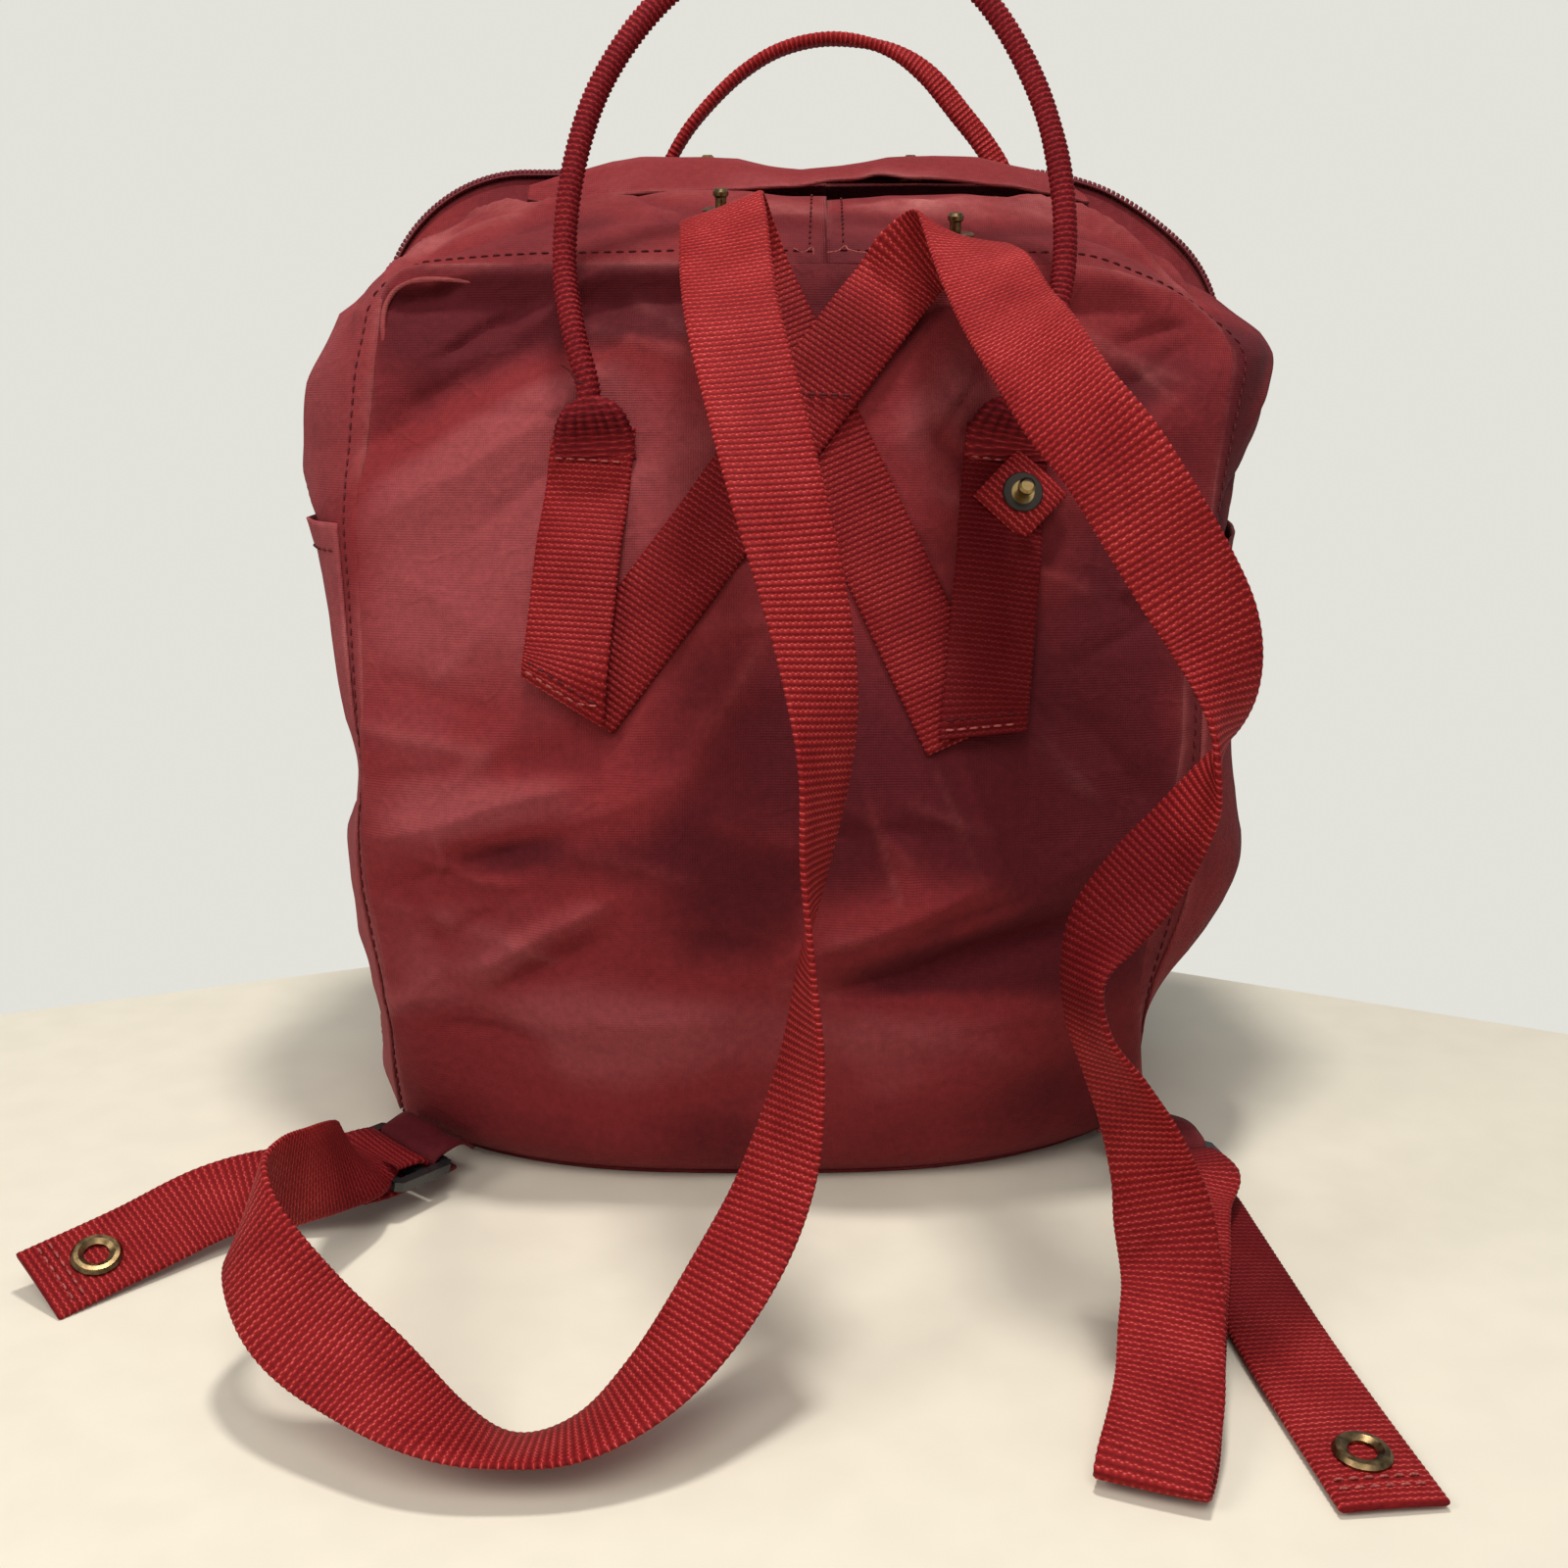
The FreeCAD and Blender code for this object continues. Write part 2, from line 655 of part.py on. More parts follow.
LEFT_TAIL = [
    ((-146, -84, 13), (-.6, .66, .45)), ((-164, -93, 12), (-.6, .62, .5)),
    ((-182, -110, 8.5), (-.66, .61, .42)), ((-200.5, -130, 6), (-.66, .61, .42)),
]
RIGHT_ROUTE = [
    ((38, -12.6, 278.5), (.8, 0, -.6)), ((43.5, -14, 283), (.86, 0, -.5)),
    ((48.5, -19, 285.5), (.9, -.05, -.4)), ((52, -29, 284), (.95, -.1, -.25)),
    ((54, -42, 279), (.95, -.25, -.1)), ((56, -57, 272), (.91, -.38, .05)),
    ((59, -77, 261), (.89, -.42, .14)), ((63, -100, 250), (.82, -.5, .28)),
    ((69, -119, 236.5), (.8, -.48, .34)), ((78, -129, 224), (.86, -.34, .36)),
    ((86, -134, 211), (.91, -.2, .36)), ((94.5, -137, 197), (.94, .03, .34)),
    ((102, -138, 184), (.9, .3, .31)), ((106, -139.5, 171), (.76, .62, .17)),
    ((106, -140, 158), (.45, .89, .05)), ((102.5, -138, 145), (-.05, 1, .05)),
    ((97, -136.5, 134), (-.28, .94, .19)), ((89, -135.5, 121.5), (-.45, .84, .31)),
    ((80, -135.5, 109), (-.4, .88, .25)), ((74.5, -138, 97), (-.22, .97, -.08)),
    ((76, -140, 84), (-.22, .94, -.25)), ((83.5, -140, 70), (-.41, .86, -.31)),
    ((90, -140, 57), (-.59, .74, -.33)), ((94.5, -142, 44), (-.76, .6, -.25)),
    ((96.5, -150, 32), (-.95, .2, -.05)), ((96, -161, 24), (-.99, .05, .03)),
    ((93, -173, 18), (-.98, .1, .05)), ((89.5, -187, 13.5), (-.96, .2, .1)),
    ((85, -199, 10), (-.93, .3, .1)), ((81.5, -207, 7.4), (-.93, .33, .05)),
    ((80.4, -209.6, 4.8), (-.94, .34, 0)), ((81.8, -206.5, 2.4), (-.94, .34, 0)),
    ((85.5, -198, 1.8), (-.95, .32, 0)), ((92, -178, 2.2), (-.95, .3, 0)),
    ((101, -148, 4.4), (-.96, .28, 0)), ((110, -118, 8.6), (-.96, .27, 0)),
    ((117, -93, 11.5), (-.97, .2, 0)),
]
RIGHT_TAIL = [
    ((124.5, -96, 5), (.98, .1, 0)), ((126, -122, 4), (.99, .06, 0)),
    ((127.5, -152, 3.4), (.99, .05, 0)), ((130, -182, 2.8), (.995, .06, 0)),
    ((133, -213, 2.4), (.99, .08, 0)),
]
SEWN_RUNS = {
    "left": ((53.0, 142.0), (-9.5, 273.0)),
    "right": ((-60.0, 150.0), (34.5, 273.0)),
}
BUCKLES = {
    # Middle of the bar that the strap wraps, the bar's direction, and the way the strap leaves.
    "left": (Vector(-120, -68, 13), Vector(-.79, .58, .15), Vector(-.5, -.86, .05)),
    "right": (Vector(121, -66, 9), Vector(-.97, -.2, 0), Vector(.03, -1, -.02)),
}

CORNER_ROOTS = {
    # Where each corner tab starts at the bottom corner, and its width direction there.
    "left": ((-107.5, -50.0, 12.5), Vector(-.79, .58, .12)),
    "right": ((111.0, -38.8, 11.0), Vector(-.84, -.54, 0)),
}


def route_point(point):
    return Vector(point[0], point[1] - (size("back_foot_depth") - ROUTE_DEPTH), point[2] * back_scale())


def route(points):
    return [(route_point(centre), Vector(*across).normalize()) for centre, across in points]


def buckle_frame(side):
    centre, bar, away = BUCKLES[side]
    centre = route_point(centre)
    bar = Vector(bar).normalize()
    away = Vector(away)
    away = (away - bar * away.dot(bar)).normalize()
    up = bar.cross(away).normalize()
    if up.z < 0:
        up = up * -1
    return centre, bar, away, up


def wrap_points(side, offset, flip, far):
    # Points that take webbing over a buckle bar and back under it; flip swaps the way it leaves.
    centre, bar, away, up = buckle_frame(side)
    centre = centre + away * offset
    away = away * flip
    reach = size("buckle_bar") / 2 + size("wrap_gap") + size("webbing_thick") / 2
    return [
        (centre + away * far + up * (reach + size("wrap_gap")), bar),
        (centre + up * reach, bar),
        (centre + (up - away) * (reach * 0.7071), bar),
        (centre - away * reach, bar),
        (centre - (up + away) * (reach * 0.7071), bar),
        (centre - up * reach, bar),
        (centre + away * far - up * reach, bar),
    ]


def make_strap(side, points, tail, over):
    start, end = SEWN_RUNS[side]
    layer = size("webbing_thick") + size("lay_gap") * 1.5
    base = size("lay_gap") + size("webbing_thick") / 2

    def lift(t):
        # Only the upper run is raised, where the runs cross.
        near = ease(0.4, 0.56, t) * (1.0 - ease(0.9, 1.1, t))
        return base + (layer * near if over else 0.0)

    stations = sewn_stations(start, end, 8, lift)
    wrap = wrap_points(side, 0.0, 1.0, size("buckle_pitch") + size("buckle_bar"))
    free = route(points) + wrap + route(tail)
    guided = free_stations(free, stations[-1][1])
    shape = ribbon_solid(stations + guided, size("webbing_width"), size("webbing_thick"))
    add_shape("shoulder_strap_" + side, cut_socket_hole(shape, side))


def tail_end(side):
    # Place of the snap socket: back from the strap's square end.
    tail = route(LEFT_TAIL if side == "left" else RIGHT_TAIL)
    stations = free_stations(tail, tail[0][1])
    (a, across_a, normal_a), (b, across_b, normal_b) = stations[-2], stations[-1]
    along = (b - a).normalize()
    inset = size("ring_diameter") * 1.2
    return b - along * inset, along, along.cross(across_b).normalize()


def cut_socket_hole(shape, side):
    centre, along, normal = tail_end(side)
    bore = size("ring_bore")
    return shape.cut(Part.makeCylinder(bore / 2, 2 * bore, centre - normal * bore, normal))


def make_corner_tab(side):
    # A folded canvas tab from the bag's bottom corner round the buckle's rear bar.
    root, across = CORNER_ROOTS[side]
    loop = wrap_points(side, -size("buckle_pitch"), -1.0, size("buckle_bar") * 2)
    stations = free_stations([(route_point(root), across)] + loop, across)
    add_shape("corner_tab_" + side, ribbon_solid(stations, size("webbing_width"), size("cloth")))


def make_root_strip(name, top, foot):
    base = size("lay_gap") + size("webbing_thick") / 2
    over = size("webbing_thick") + size("lay_gap")

    def lift(t):
        return base + over * 2.0 * ease(0.25, 0.46, t)

    root = size("handle_root_height")
    start, end = (top[0], root + top[1]), (foot[0], root + foot[1])
    stations = sewn_stations(start, end, 7, lift)
    add_shape(name, ribbon_solid(stations, size("webbing_width"), size("webbing_thick")))


# Ends of the root strips, across the panel and above the handle's roots.
ROOT_STRIPS = {
    "left": ((-57.0, 0.5), (-64.0, -80.0)),
    "right": ((67.5, 0.0), (57.0, -87.0)),
}


# Handles.


def handle_axis():
    # Height and depth of the line that the back handle swings about.
    z = size("handle_root_height") * back_scale()
    reach = size("lay_gap") * 2.5 + size("webbing_thick") + size("handle_thick") / 2
    y = min(back_y(ROOT_STRIPS[side][0][0], z) for side in ROOT_STRIPS) - reach
    return y, z


HANDLE_SHAPE = [
    # Across, forward and up from the roots' height, from the left root over the arch to the right root.
    (-57.0, 0.0, 0.0), (-58.0, 0.0, 12.0), (-62.0, 4.0, 27.0), (-65.5, 13.0, 48.0), (-63.0, 21.0, 76.0),
    (-54.5, 29.0, 102.0), (-36.0, 36.0, 127.0), (-12.0, 40.5, 143.0), (13.0, 42.5, 150.0),
    (38.0, 41.0, 144.5), (60.0, 36.0, 127.0), (75.5, 28.5, 101.0), (82.5, 20.0, 75.0), (83.5, 12.0, 48.0),
    (78.5, 4.5, 27.0), (70.5, 0.0, 12.0), (67.0, 0.0, 0.0),
]
HANDLE_SHAPE_RISE = 150.0


def make_back_handle():
    y, z = handle_axis()
    scale = size("handle_rise") / HANDLE_SHAPE_RISE
    points = [Vector(px, y + py * scale, z + pz * scale) for px, py, pz in HANDLE_SHAPE]
    radius = size("handle_thick") / 2
    tube = tube_solid(points, radius)
    ends = [Part.makeSphere(radius, point) for point in (points[0], points[-1])]
    add_shape("back_handle", tube.fuse(ends))


def front_handle_axis():
    z = size("zip_height") - size("front_root_drop")
    reach = size("cloth") + size("lay_gap") * 2 + size("webbing_thick") + size("front_handle_thick") / 2
    return max(front_face_y(x, z) for x in FRONT_ROOTS) + reach + size("lay_gap"), z


FRONT_ROOTS = (-46.0, 76.0)
FRONT_HANDLE_SHAPE = [
    (-46.0, 0.0), (-48.0, 9.0), (-47.5, 18.0), (-43.5, 28.0), (-38.0, 38.0), (-31.0, 47.0), (-16.0, 61.0),
    (-1.0, 69.5), (17.5, 73.0), (38.0, 69.5), (51.5, 61.5), (65.0, 47.0), (73.5, 37.0), (80.0, 27.0),
    (82.0, 18.0), (80.0, 9.0), (76.0, 0.0),
]
FRONT_HANDLE_SHAPE_RISE = 73.0


def make_front_handle():
    y, z = front_handle_axis()
    scale = size("front_handle_rise") / FRONT_HANDLE_SHAPE_RISE
    forward = Vector(0, 1, 0)
    points = [(Vector(px, y, z + pz * scale), Vector(0, 1, 0)) for px, pz in FRONT_HANDLE_SHAPE]
    stations = []
    for centre, across, normal in free_stations(points, forward):
        stations.append((centre, normal, across * -1))
    body = ribbon_solid(stations, size("front_handle_width"), size("front_handle_thick"))
    add_shape("front_handle", body)


def make_front_strip(name, x):
    z = size("zip_height") - size("front_root_drop")
    low = z - size("front_strip_length")
    half = size("webbing_width") / 2

    def depth(px, pz):
        return front_face_y(px, pz) + size("cloth") + size("lay_gap")

    grid = []
    for i in range(5):
        pz = low + (z + size("front_handle_width") - low) * i / 4
        grid.append([Vector(x + dx, depth(x + dx, pz), pz) for dx in (-half, 0.0, half)])
    add_shape(name, sheet_from(grid, size("webbing_thick")))


# Metal and plastic pieces, made as bodies from sketches.


def new_body(name):
    body = doc.addObject("PartDesign::Body", name)
    body.Label = name
    pieces.append(body)
    return body


def new_sketch(body, role):
    sketch = body.newObject("Sketcher::SketchObject", body.Name + "_sketch")
    plane = [f for f in body.Origin.OriginFeatures if f.Role == role][0]
    sketch.AttachmentSupport = [(plane, "")]
    sketch.MapMode = "FlatFace"
    return sketch


def closed_outline(sketch, points):
    # A straight-sided outline through points, its corners joined by coincidence.
    count = len(points)
    for i in range(count):
        a = Vector(points[i][0], points[i][1], 0)
        b = Vector(points[(i + 1) % count][0], points[(i + 1) % count][1], 0)
        sketch.addGeometry(Part.LineSegment(a, b), False)
    for i in range(count):
        sketch.addConstraint(Sketcher.Constraint("Coincident", i, 2, (i + 1) % count, 1))


def make_stud(name, spot, normal, grip):
    # Washer, neck and domed head, turned as one; grip is the cloth and webbing between the two.
    body = new_body(name)
    sketch = new_sketch(body, "XZ_Plane")
    head = size("post_diameter") / 2
    neck = size("neck_diameter") / 2
    washer = size("washer_diameter") / 2
    base = size("washer_thick")
    top = base + size("post_height")
    outline = [
        (0, 0), (washer, 0), (washer, base * 0.6), (washer - base * 0.4, base), (neck, base),
        (neck, top - head * 1.1), (head, top - head * 0.8), (head, top - head * 0.35),
        (head * 0.7, top), (0, top),
    ]
    closed_outline(sketch, outline)
    turned = body.newObject("PartDesign::Revolution", name + "_turned")
    turned.Profile = sketch
    turned.ReferenceAxis = (sketch, ["V_Axis"])
    turned.Angle = 360
    sketch.Visibility = False
    body.Placement = place_frame(spot + normal * grip, Vector(1, 0, 0), normal)
    return body


def make_socket(name, side):
    # A rounded ring, pressed on the webbing's upper face round its hole.
    centre, along, normal = tail_end(side)
    if normal.z < 0:
        normal = normal * -1
    body = new_body(name)
    sketch = new_sketch(body, "XZ_Plane")
    inner = size("ring_bore") / 2
    outer = size("ring_diameter") / 2
    high = size("ring_thick")
    outline = [
        (inner, 0), (outer, 0), (outer, high * 0.35), (outer - high * 0.45, high * 0.9),
        (inner + high * 0.8, high), (inner, high * 0.55),
    ]
    closed_outline(sketch, outline)
    turned = body.newObject("PartDesign::Revolution", name + "_turned")
    turned.Profile = sketch
    turned.ReferenceAxis = (sketch, ["V_Axis"])
    turned.Angle = 360
    body.Placement = place_frame(centre + normal * (size("webbing_thick") / 2 + 0.05), along, normal)


def make_buckle(side):
    # A frame with three cross bars; local X along the bars, local Y towards the strap.
    centre, bar, away, up = buckle_frame(side)
    name = "ladder_buckle_" + side
    body = new_body(name)
    thick = size("buckle_bar")
    pitch = size("buckle_pitch")
    half_x = size("webbing_width") / 2 + size("buckle_side") + thick
    frame_sketch = new_sketch(body, "XY_Plane")
    low, high = -pitch - thick / 2, pitch + thick / 2
    cut = thick * 0.6
    closed_outline(frame_sketch, [
        (-half_x + cut, low), (half_x - cut, low), (half_x, low + cut), (half_x, high - cut),
        (half_x - cut, high), (-half_x + cut, high), (-half_x, high - cut), (-half_x, low + cut),
    ])
    plate = body.newObject("PartDesign::Pad", name + "_plate")
    plate.Profile = frame_sketch
    plate.Length = thick
    plate.Midplane = True
    plate.setExpression("Length", "Sizes.buckle_bar")
    doc.recompute()
    inner = half_x - thick
    for i, base in enumerate((-pitch, 0.0)):
        slot = new_sketch(body, "XY_Plane")
        a, b = base + thick / 2, base + pitch - thick / 2
        closed_outline(slot, [(-inner, a), (inner, a), (inner, b), (-inner, b)])
        pocket = body.newObject("PartDesign::Pocket", "%s_slot_%d" % (name, i))
        pocket.Profile = slot
        pocket.Type = 1
        pocket.Midplane = True
        doc.recompute()
    y_axis = away
    x_axis = y_axis.cross(up).normalize()
    body.Placement = place_frame(centre, x_axis, up)


def zip_top_line():
    # Middle of the straight top run, between the two halves and at the coil's middle height.
    z = size("zip_height") - size("cloth") / 2
    return Vector(middle_x(size("zip_height")), zip_y(size("zip_height")), z)


def bail_height():
    plate_top = size("coil_thick") / 2 + size("slider_clear") + size("slider_plate")
    return plate_top + size("bail_bore") / 2 + 0.2


def make_slider(side):
    # An upper and a lower plate joined by a web between the zip's halves, with a bail on top.
    sign = -1 if side == "left" else 1
    name = "zip_slider_" + side
    body = new_body(name)
    inner = size("coil_thick") / 2 + size("slider_clear")
    outer = inner + size("slider_plate")
    web = size("zip_clear") * 0.5
    half = size("slider_width") / 2
    sketch = new_sketch(body, "YZ_Plane")
    closed_outline(sketch, [
        (-half, -outer), (half, -outer), (half, -inner), (web, -inner), (web, inner), (half, inner),
        (half, outer), (-half, outer), (-half, inner), (-web, inner), (-web, -inner), (-half, -inner),
    ])
    rail = body.newObject("PartDesign::Pad", name + "_plates")
    rail.Profile = sketch
    rail.Midplane = True
    rail.Length = size("slider_length")
    rail.setExpression("Length", "Sizes.slider_length")
    doc.recompute()
    bail = new_sketch(body, "XZ_Plane")
    hole = size("bail_bore") / 2
    top = bail_height() + hole + size("bail_wall")
    reach = size("bail_length") / 2
    closed_outline(bail, [
        (-reach, outer - 0.2), (reach, outer - 0.2), (reach, top - 0.8), (reach - 0.8, top),
        (0.8 - reach, top), (-reach, top - 0.8),
    ])
    bail.addGeometry(Part.Circle(Vector(0, bail_height(), 0), Vector(0, 0, 1), hole), False)
    lug = body.newObject("PartDesign::Pad", name + "_bail")
    lug.Profile = bail
    lug.Midplane = True
    lug.Length = size("bail_width")
    lug.setExpression("Length", "Sizes.bail_width")
    spot = zip_top_line() + Vector(sign * size("slider_place"), 0, 0)
    body.Placement = Placement(spot, Rotation())


def make_pull(side):
    # A flat tab whose end bar passes through the slider's bail; it lies outwards along the zip.
    sign = -1 if side == "left" else 1
    name = "zip_pull_" + side
    body = new_body(name)
    bar = size("pull_bar") / 2
    half = size("pull_width") / 2
    length = size("pull_length")
    taper = half * 0.55
    sketch = new_sketch(body, "XY_Plane")
    closed_outline(sketch, [
        (-bar, -half), (length * 0.3, -half), (length * 0.45, -taper), (length - taper, -taper),
        (length, -taper * 0.4), (length, taper * 0.4), (length - taper, taper), (length * 0.45, taper),
        (length * 0.3, half), (-bar, half),
    ])
    tab = body.newObject("PartDesign::Pad", name + "_tab")
    tab.Profile = sketch
    tab.Midplane = True
    tab.Length = size("pull_thick")
    tab.setExpression("Length", "Sizes.pull_thick")
    doc.recompute()
    window = new_sketch(body, "XY_Plane")
    side_gap = size("bail_width") / 2 + 0.5
    window_end = bar + size("bail_length") / 2 + size("bail_wall") + 0.8
    corners = [(bar, -side_gap), (window_end, -side_gap), (window_end, side_gap), (bar, side_gap)]
    closed_outline(window, corners)
    hole = body.newObject("PartDesign::Pocket", name + "_window")
    hole.Profile = window
    hole.Type = 1
    hole.Midplane = True
    spot = zip_top_line() + Vector(sign * size("slider_place"), 0, bail_height())
    body.Placement = Placement(spot, Rotation(Vector(0, 0, 1), 0 if sign > 0 else 180))


# Where the studs stand: behind each strap's fold, on the top gusset.


STUD_SPOTS = {"left": (-20.0, 16.0), "right": (53.0, 2.0)}


def make_studs():
    # Each washer lies a little flatter than the cloth under it, clear of it at its rear edge.
    for side, (x, y) in STUD_SPOTS.items():
        tilt = Vector(0.0, -0.25, 1.0).normalize()
        foot = top_spot(x, y)
        rear = top_spot(x, y + size("washer_diameter") / 2)
        rise = rear.z - foot.z - size("washer_diameter") / 2 * tilt.z * 0.25
        make_stud("strap_stud_" + side, foot + Vector(0, 0, rise + size("lay_gap")), tilt, 0.0)


# The stud tab: across the panel, above the handle's roots, and its turn in degrees.
STUD_TAB = (70.0, -20.5, 42.0)


def make_stud_tab():
    # A short webbing tab over the right root strip, turned a little, with a stud through it.
    x, above_root, turn = STUD_TAB
    lift = size("lay_gap") * 4 + size("webbing_thick") * 2.5
    spot, normal = back_point(x, (size("handle_root_height") + above_root) * back_scale(), lift)
    along = Vector(math.sin(math.radians(turn)), 0, math.cos(math.radians(turn)))
    along = (along - normal * along.dot(normal)).normalize()
    across = normal.cross(along).normalize()
    half = size("tab_length") / 2
    stations = [(spot - along * half, across, normal), (spot + along * half, across, normal)]
    add_shape("stud_tab", ribbon_solid(stations, size("tab_length"), size("webbing_thick")))
    make_stud("handle_stud", spot, normal, size("webbing_thick") / 2 + 0.05)


def check_and_write():
    doc.recompute()
    for thing in doc.Objects:
        if "Invalid" in thing.State or "Error" in thing.State:
            raise RuntimeError("failed: " + thing.Name + " " + str(thing.State))
    os.makedirs("parts", exist_ok=True)
    for piece in pieces:
        shape = piece.Shape
        if shape.isNull() or not shape.isValid():
            raise RuntimeError("bad shape: " + piece.Label)
        if shape.Volume <= 0 or not shape.Solids:
            raise RuntimeError("no solid: " + piece.Label)
        shape.exportStep("parts/%s.step" % piece.Label)
        box = shape.BoundBox
        print("%-24s %d solid  %8.0f mm3  x %.1f..%.1f  y %.1f..%.1f  z %.1f..%.1f" % (
            piece.Label, len(shape.Solids), shape.Volume,
            box.XMin, box.XMax, box.YMin, box.YMax, box.ZMin, box.ZMax))


make_back_panel()
make_base_panel()
make_gusset("gusset_left", -1)
make_gusset("gusset_right", 1)
make_side_pocket("side_pocket_left", -1)
make_side_pocket("side_pocket_right", 1)
make_pad_and_sleeve()
make_zip_half("main_zip_body_half", -(size("zip_clear") + size("coil_width") / 2))
make_zip_half("main_zip_flap_half", size("zip_clear") + size("coil_width") / 2)
make_flap_band()
make_front_panel()
make_front_pocket()
make_rain_flap()
for side_name in ("left", "right"):
    make_root_strip("handle_strip_" + side_name, *ROOT_STRIPS[side_name])
make_strap("left", LEFT_ROUTE, LEFT_TAIL, False)
make_strap("right", RIGHT_ROUTE, RIGHT_TAIL, True)
make_back_handle()
make_front_handle()
make_front_strip("front_handle_strip_left", FRONT_ROOTS[0])
make_front_strip("front_handle_strip_right", FRONT_ROOTS[1])
make_studs()
make_stud_tab()
for side_name in ("left", "right"):
    make_corner_tab(side_name)
    make_buckle(side_name)
    make_socket("tail_socket_" + side_name, side_name)
    make_slider(side_name)
    make_pull(side_name)
check_and_write()
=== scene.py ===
import bpy
import math
import numpy as np
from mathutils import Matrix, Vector


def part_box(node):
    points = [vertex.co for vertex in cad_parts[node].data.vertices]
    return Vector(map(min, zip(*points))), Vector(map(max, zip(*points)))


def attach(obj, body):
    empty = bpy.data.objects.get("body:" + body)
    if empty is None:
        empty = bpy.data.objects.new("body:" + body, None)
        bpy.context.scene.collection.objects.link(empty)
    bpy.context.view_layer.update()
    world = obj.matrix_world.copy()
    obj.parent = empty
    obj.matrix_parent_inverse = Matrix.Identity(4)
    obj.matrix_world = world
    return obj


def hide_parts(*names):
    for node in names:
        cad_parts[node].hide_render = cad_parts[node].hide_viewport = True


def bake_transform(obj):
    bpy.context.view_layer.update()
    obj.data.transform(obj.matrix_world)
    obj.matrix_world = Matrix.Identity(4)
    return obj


# A square day pack of faded red waxed canvas with red webbing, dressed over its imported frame.
# Lengths in the forms below are millimetres, turned to metres when a mesh is made.

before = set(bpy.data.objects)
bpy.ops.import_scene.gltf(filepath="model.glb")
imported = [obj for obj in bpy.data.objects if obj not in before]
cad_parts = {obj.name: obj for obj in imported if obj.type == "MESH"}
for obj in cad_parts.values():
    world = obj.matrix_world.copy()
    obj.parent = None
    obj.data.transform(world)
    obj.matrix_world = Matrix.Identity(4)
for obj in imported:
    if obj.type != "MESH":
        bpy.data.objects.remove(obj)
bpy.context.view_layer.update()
print("frame loaded")

mm = 0.001
sideEnd = {-1: "_left", 1: "_right"}  # side -1 is at low x, on the left in the photograph


# Meshes from numpy surfaces.

def addObject(name, data):
    piece = bpy.data.objects.new(name, data)
    bpy.context.collection.objects.link(piece)
    return piece


def makeObject(name, points, faces, material, uv=None, values=None):
    # Points in millimetres; faces is an array of quads, or a list when faces of other sizes are among them.
    mesh = bpy.data.meshes.new(name)
    mesh.from_pydata((np.asarray(points).reshape(-1, 3) * mm).tolist(), [],
                     faces.tolist() if isinstance(faces, np.ndarray) else faces)
    mesh.polygons.foreach_set("use_smooth", [True] * len(mesh.polygons))
    if uv is not None:
        layer = mesh.uv_layers.new(name="UVMap")
        corners = np.empty(len(mesh.loops), dtype=np.int64)
        mesh.loops.foreach_get("vertex_index", corners)
        layer.data.foreach_set("uv", np.asarray(uv, dtype=float)[corners].ravel())
    for key, value in (values or {}).items():
        attribute = mesh.attributes.new(key, "FLOAT", "POINT")
        attribute.data.foreach_set("value", np.asarray(value, dtype=float).ravel())
    mesh.materials.append(material)
    mesh.update()
    return addObject(name, mesh)


def dress(piece, body, slot, *nodes):
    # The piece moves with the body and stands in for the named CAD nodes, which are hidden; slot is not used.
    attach(piece, body)
    if nodes:
        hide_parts(*nodes)


def gridFaces(rows, columns, closed=False, flip=False):
    # Quads between neighbouring rows; closed joins the last column to the first.
    i, j = np.meshgrid(np.arange(rows - 1), np.arange(columns if closed else columns - 1), indexing="ij")
    after = (j + 1) % columns
    here, above = i * columns, (i + 1) * columns
    quads = np.stack([here + j, here + after, above + after, above + j], -1).reshape(-1, 4)
    return quads[:, ::-1] if flip else quads


def sheetObject(name, grid, material, thick, flip=False, values=None):
    # One cloth sheet: its outer face is the grid, and Solidify adds the inner face.
    rows, columns, _ = grid.shape
    faces = gridFaces(rows, columns, flip=flip)
    piece = makeObject(name, grid.reshape(-1, 3), faces, material, values=values)
    solid = piece.modifiers.new("thickness", "SOLIDIFY")
    solid.thickness = thick * mm
    solid.offset = -1
    solid.use_even_offset = False
    return piece


def tubeFaces(rings, count, flip=False):
    # Quads round a tube of rings with that many points each, and one face over each end.
    faces = gridFaces(rings, count, closed=True, flip=flip).tolist()
    first = list(range(count))
    last = [(rings - 1) * count + k for k in range(count)]
    faces.append(first if flip else first[::-1])
    faces.append(last[::-1] if flip else last)
    return faces


def repeated(faces, count, step):
    # The same face list for each of many like shapes, whose points follow each other.
    return [[corner + i * step for corner in face] for i in range(count) for face in faces]


def unit(vectors):
    return vectors / np.maximum(np.linalg.norm(vectors, axis=-1, keepdims=True), 1e-9)


def pathFrame(path, facing):
    # Directions across a path and out of it, at each of its points; out is the side that facing shows.
    ahead = unit(np.gradient(path, axis=0))
    across = unit(np.cross(ahead, np.broadcast_to(facing, ahead.shape)))
    return across, unit(np.cross(across, ahead))


def ringPoints(path, across, normal, wide, deep):
    # A ring of points round each place of a path: wide counts across it and deep out of it.
    return path[:, None] + across[:, None] * wide[..., None] + normal[:, None] * deep[..., None]


def around(count):
    # Even angles round a ring.
    return np.linspace(0, 2 * np.pi, count, endpoint=False)


def ease(low, high, value):
    # 0 before low and 1 after high, with a smooth change between; low may be the larger
    part = np.clip((value - low) / (high - low), 0.0, 1.0)
    return part * part * (3.0 - 2.0 * part)


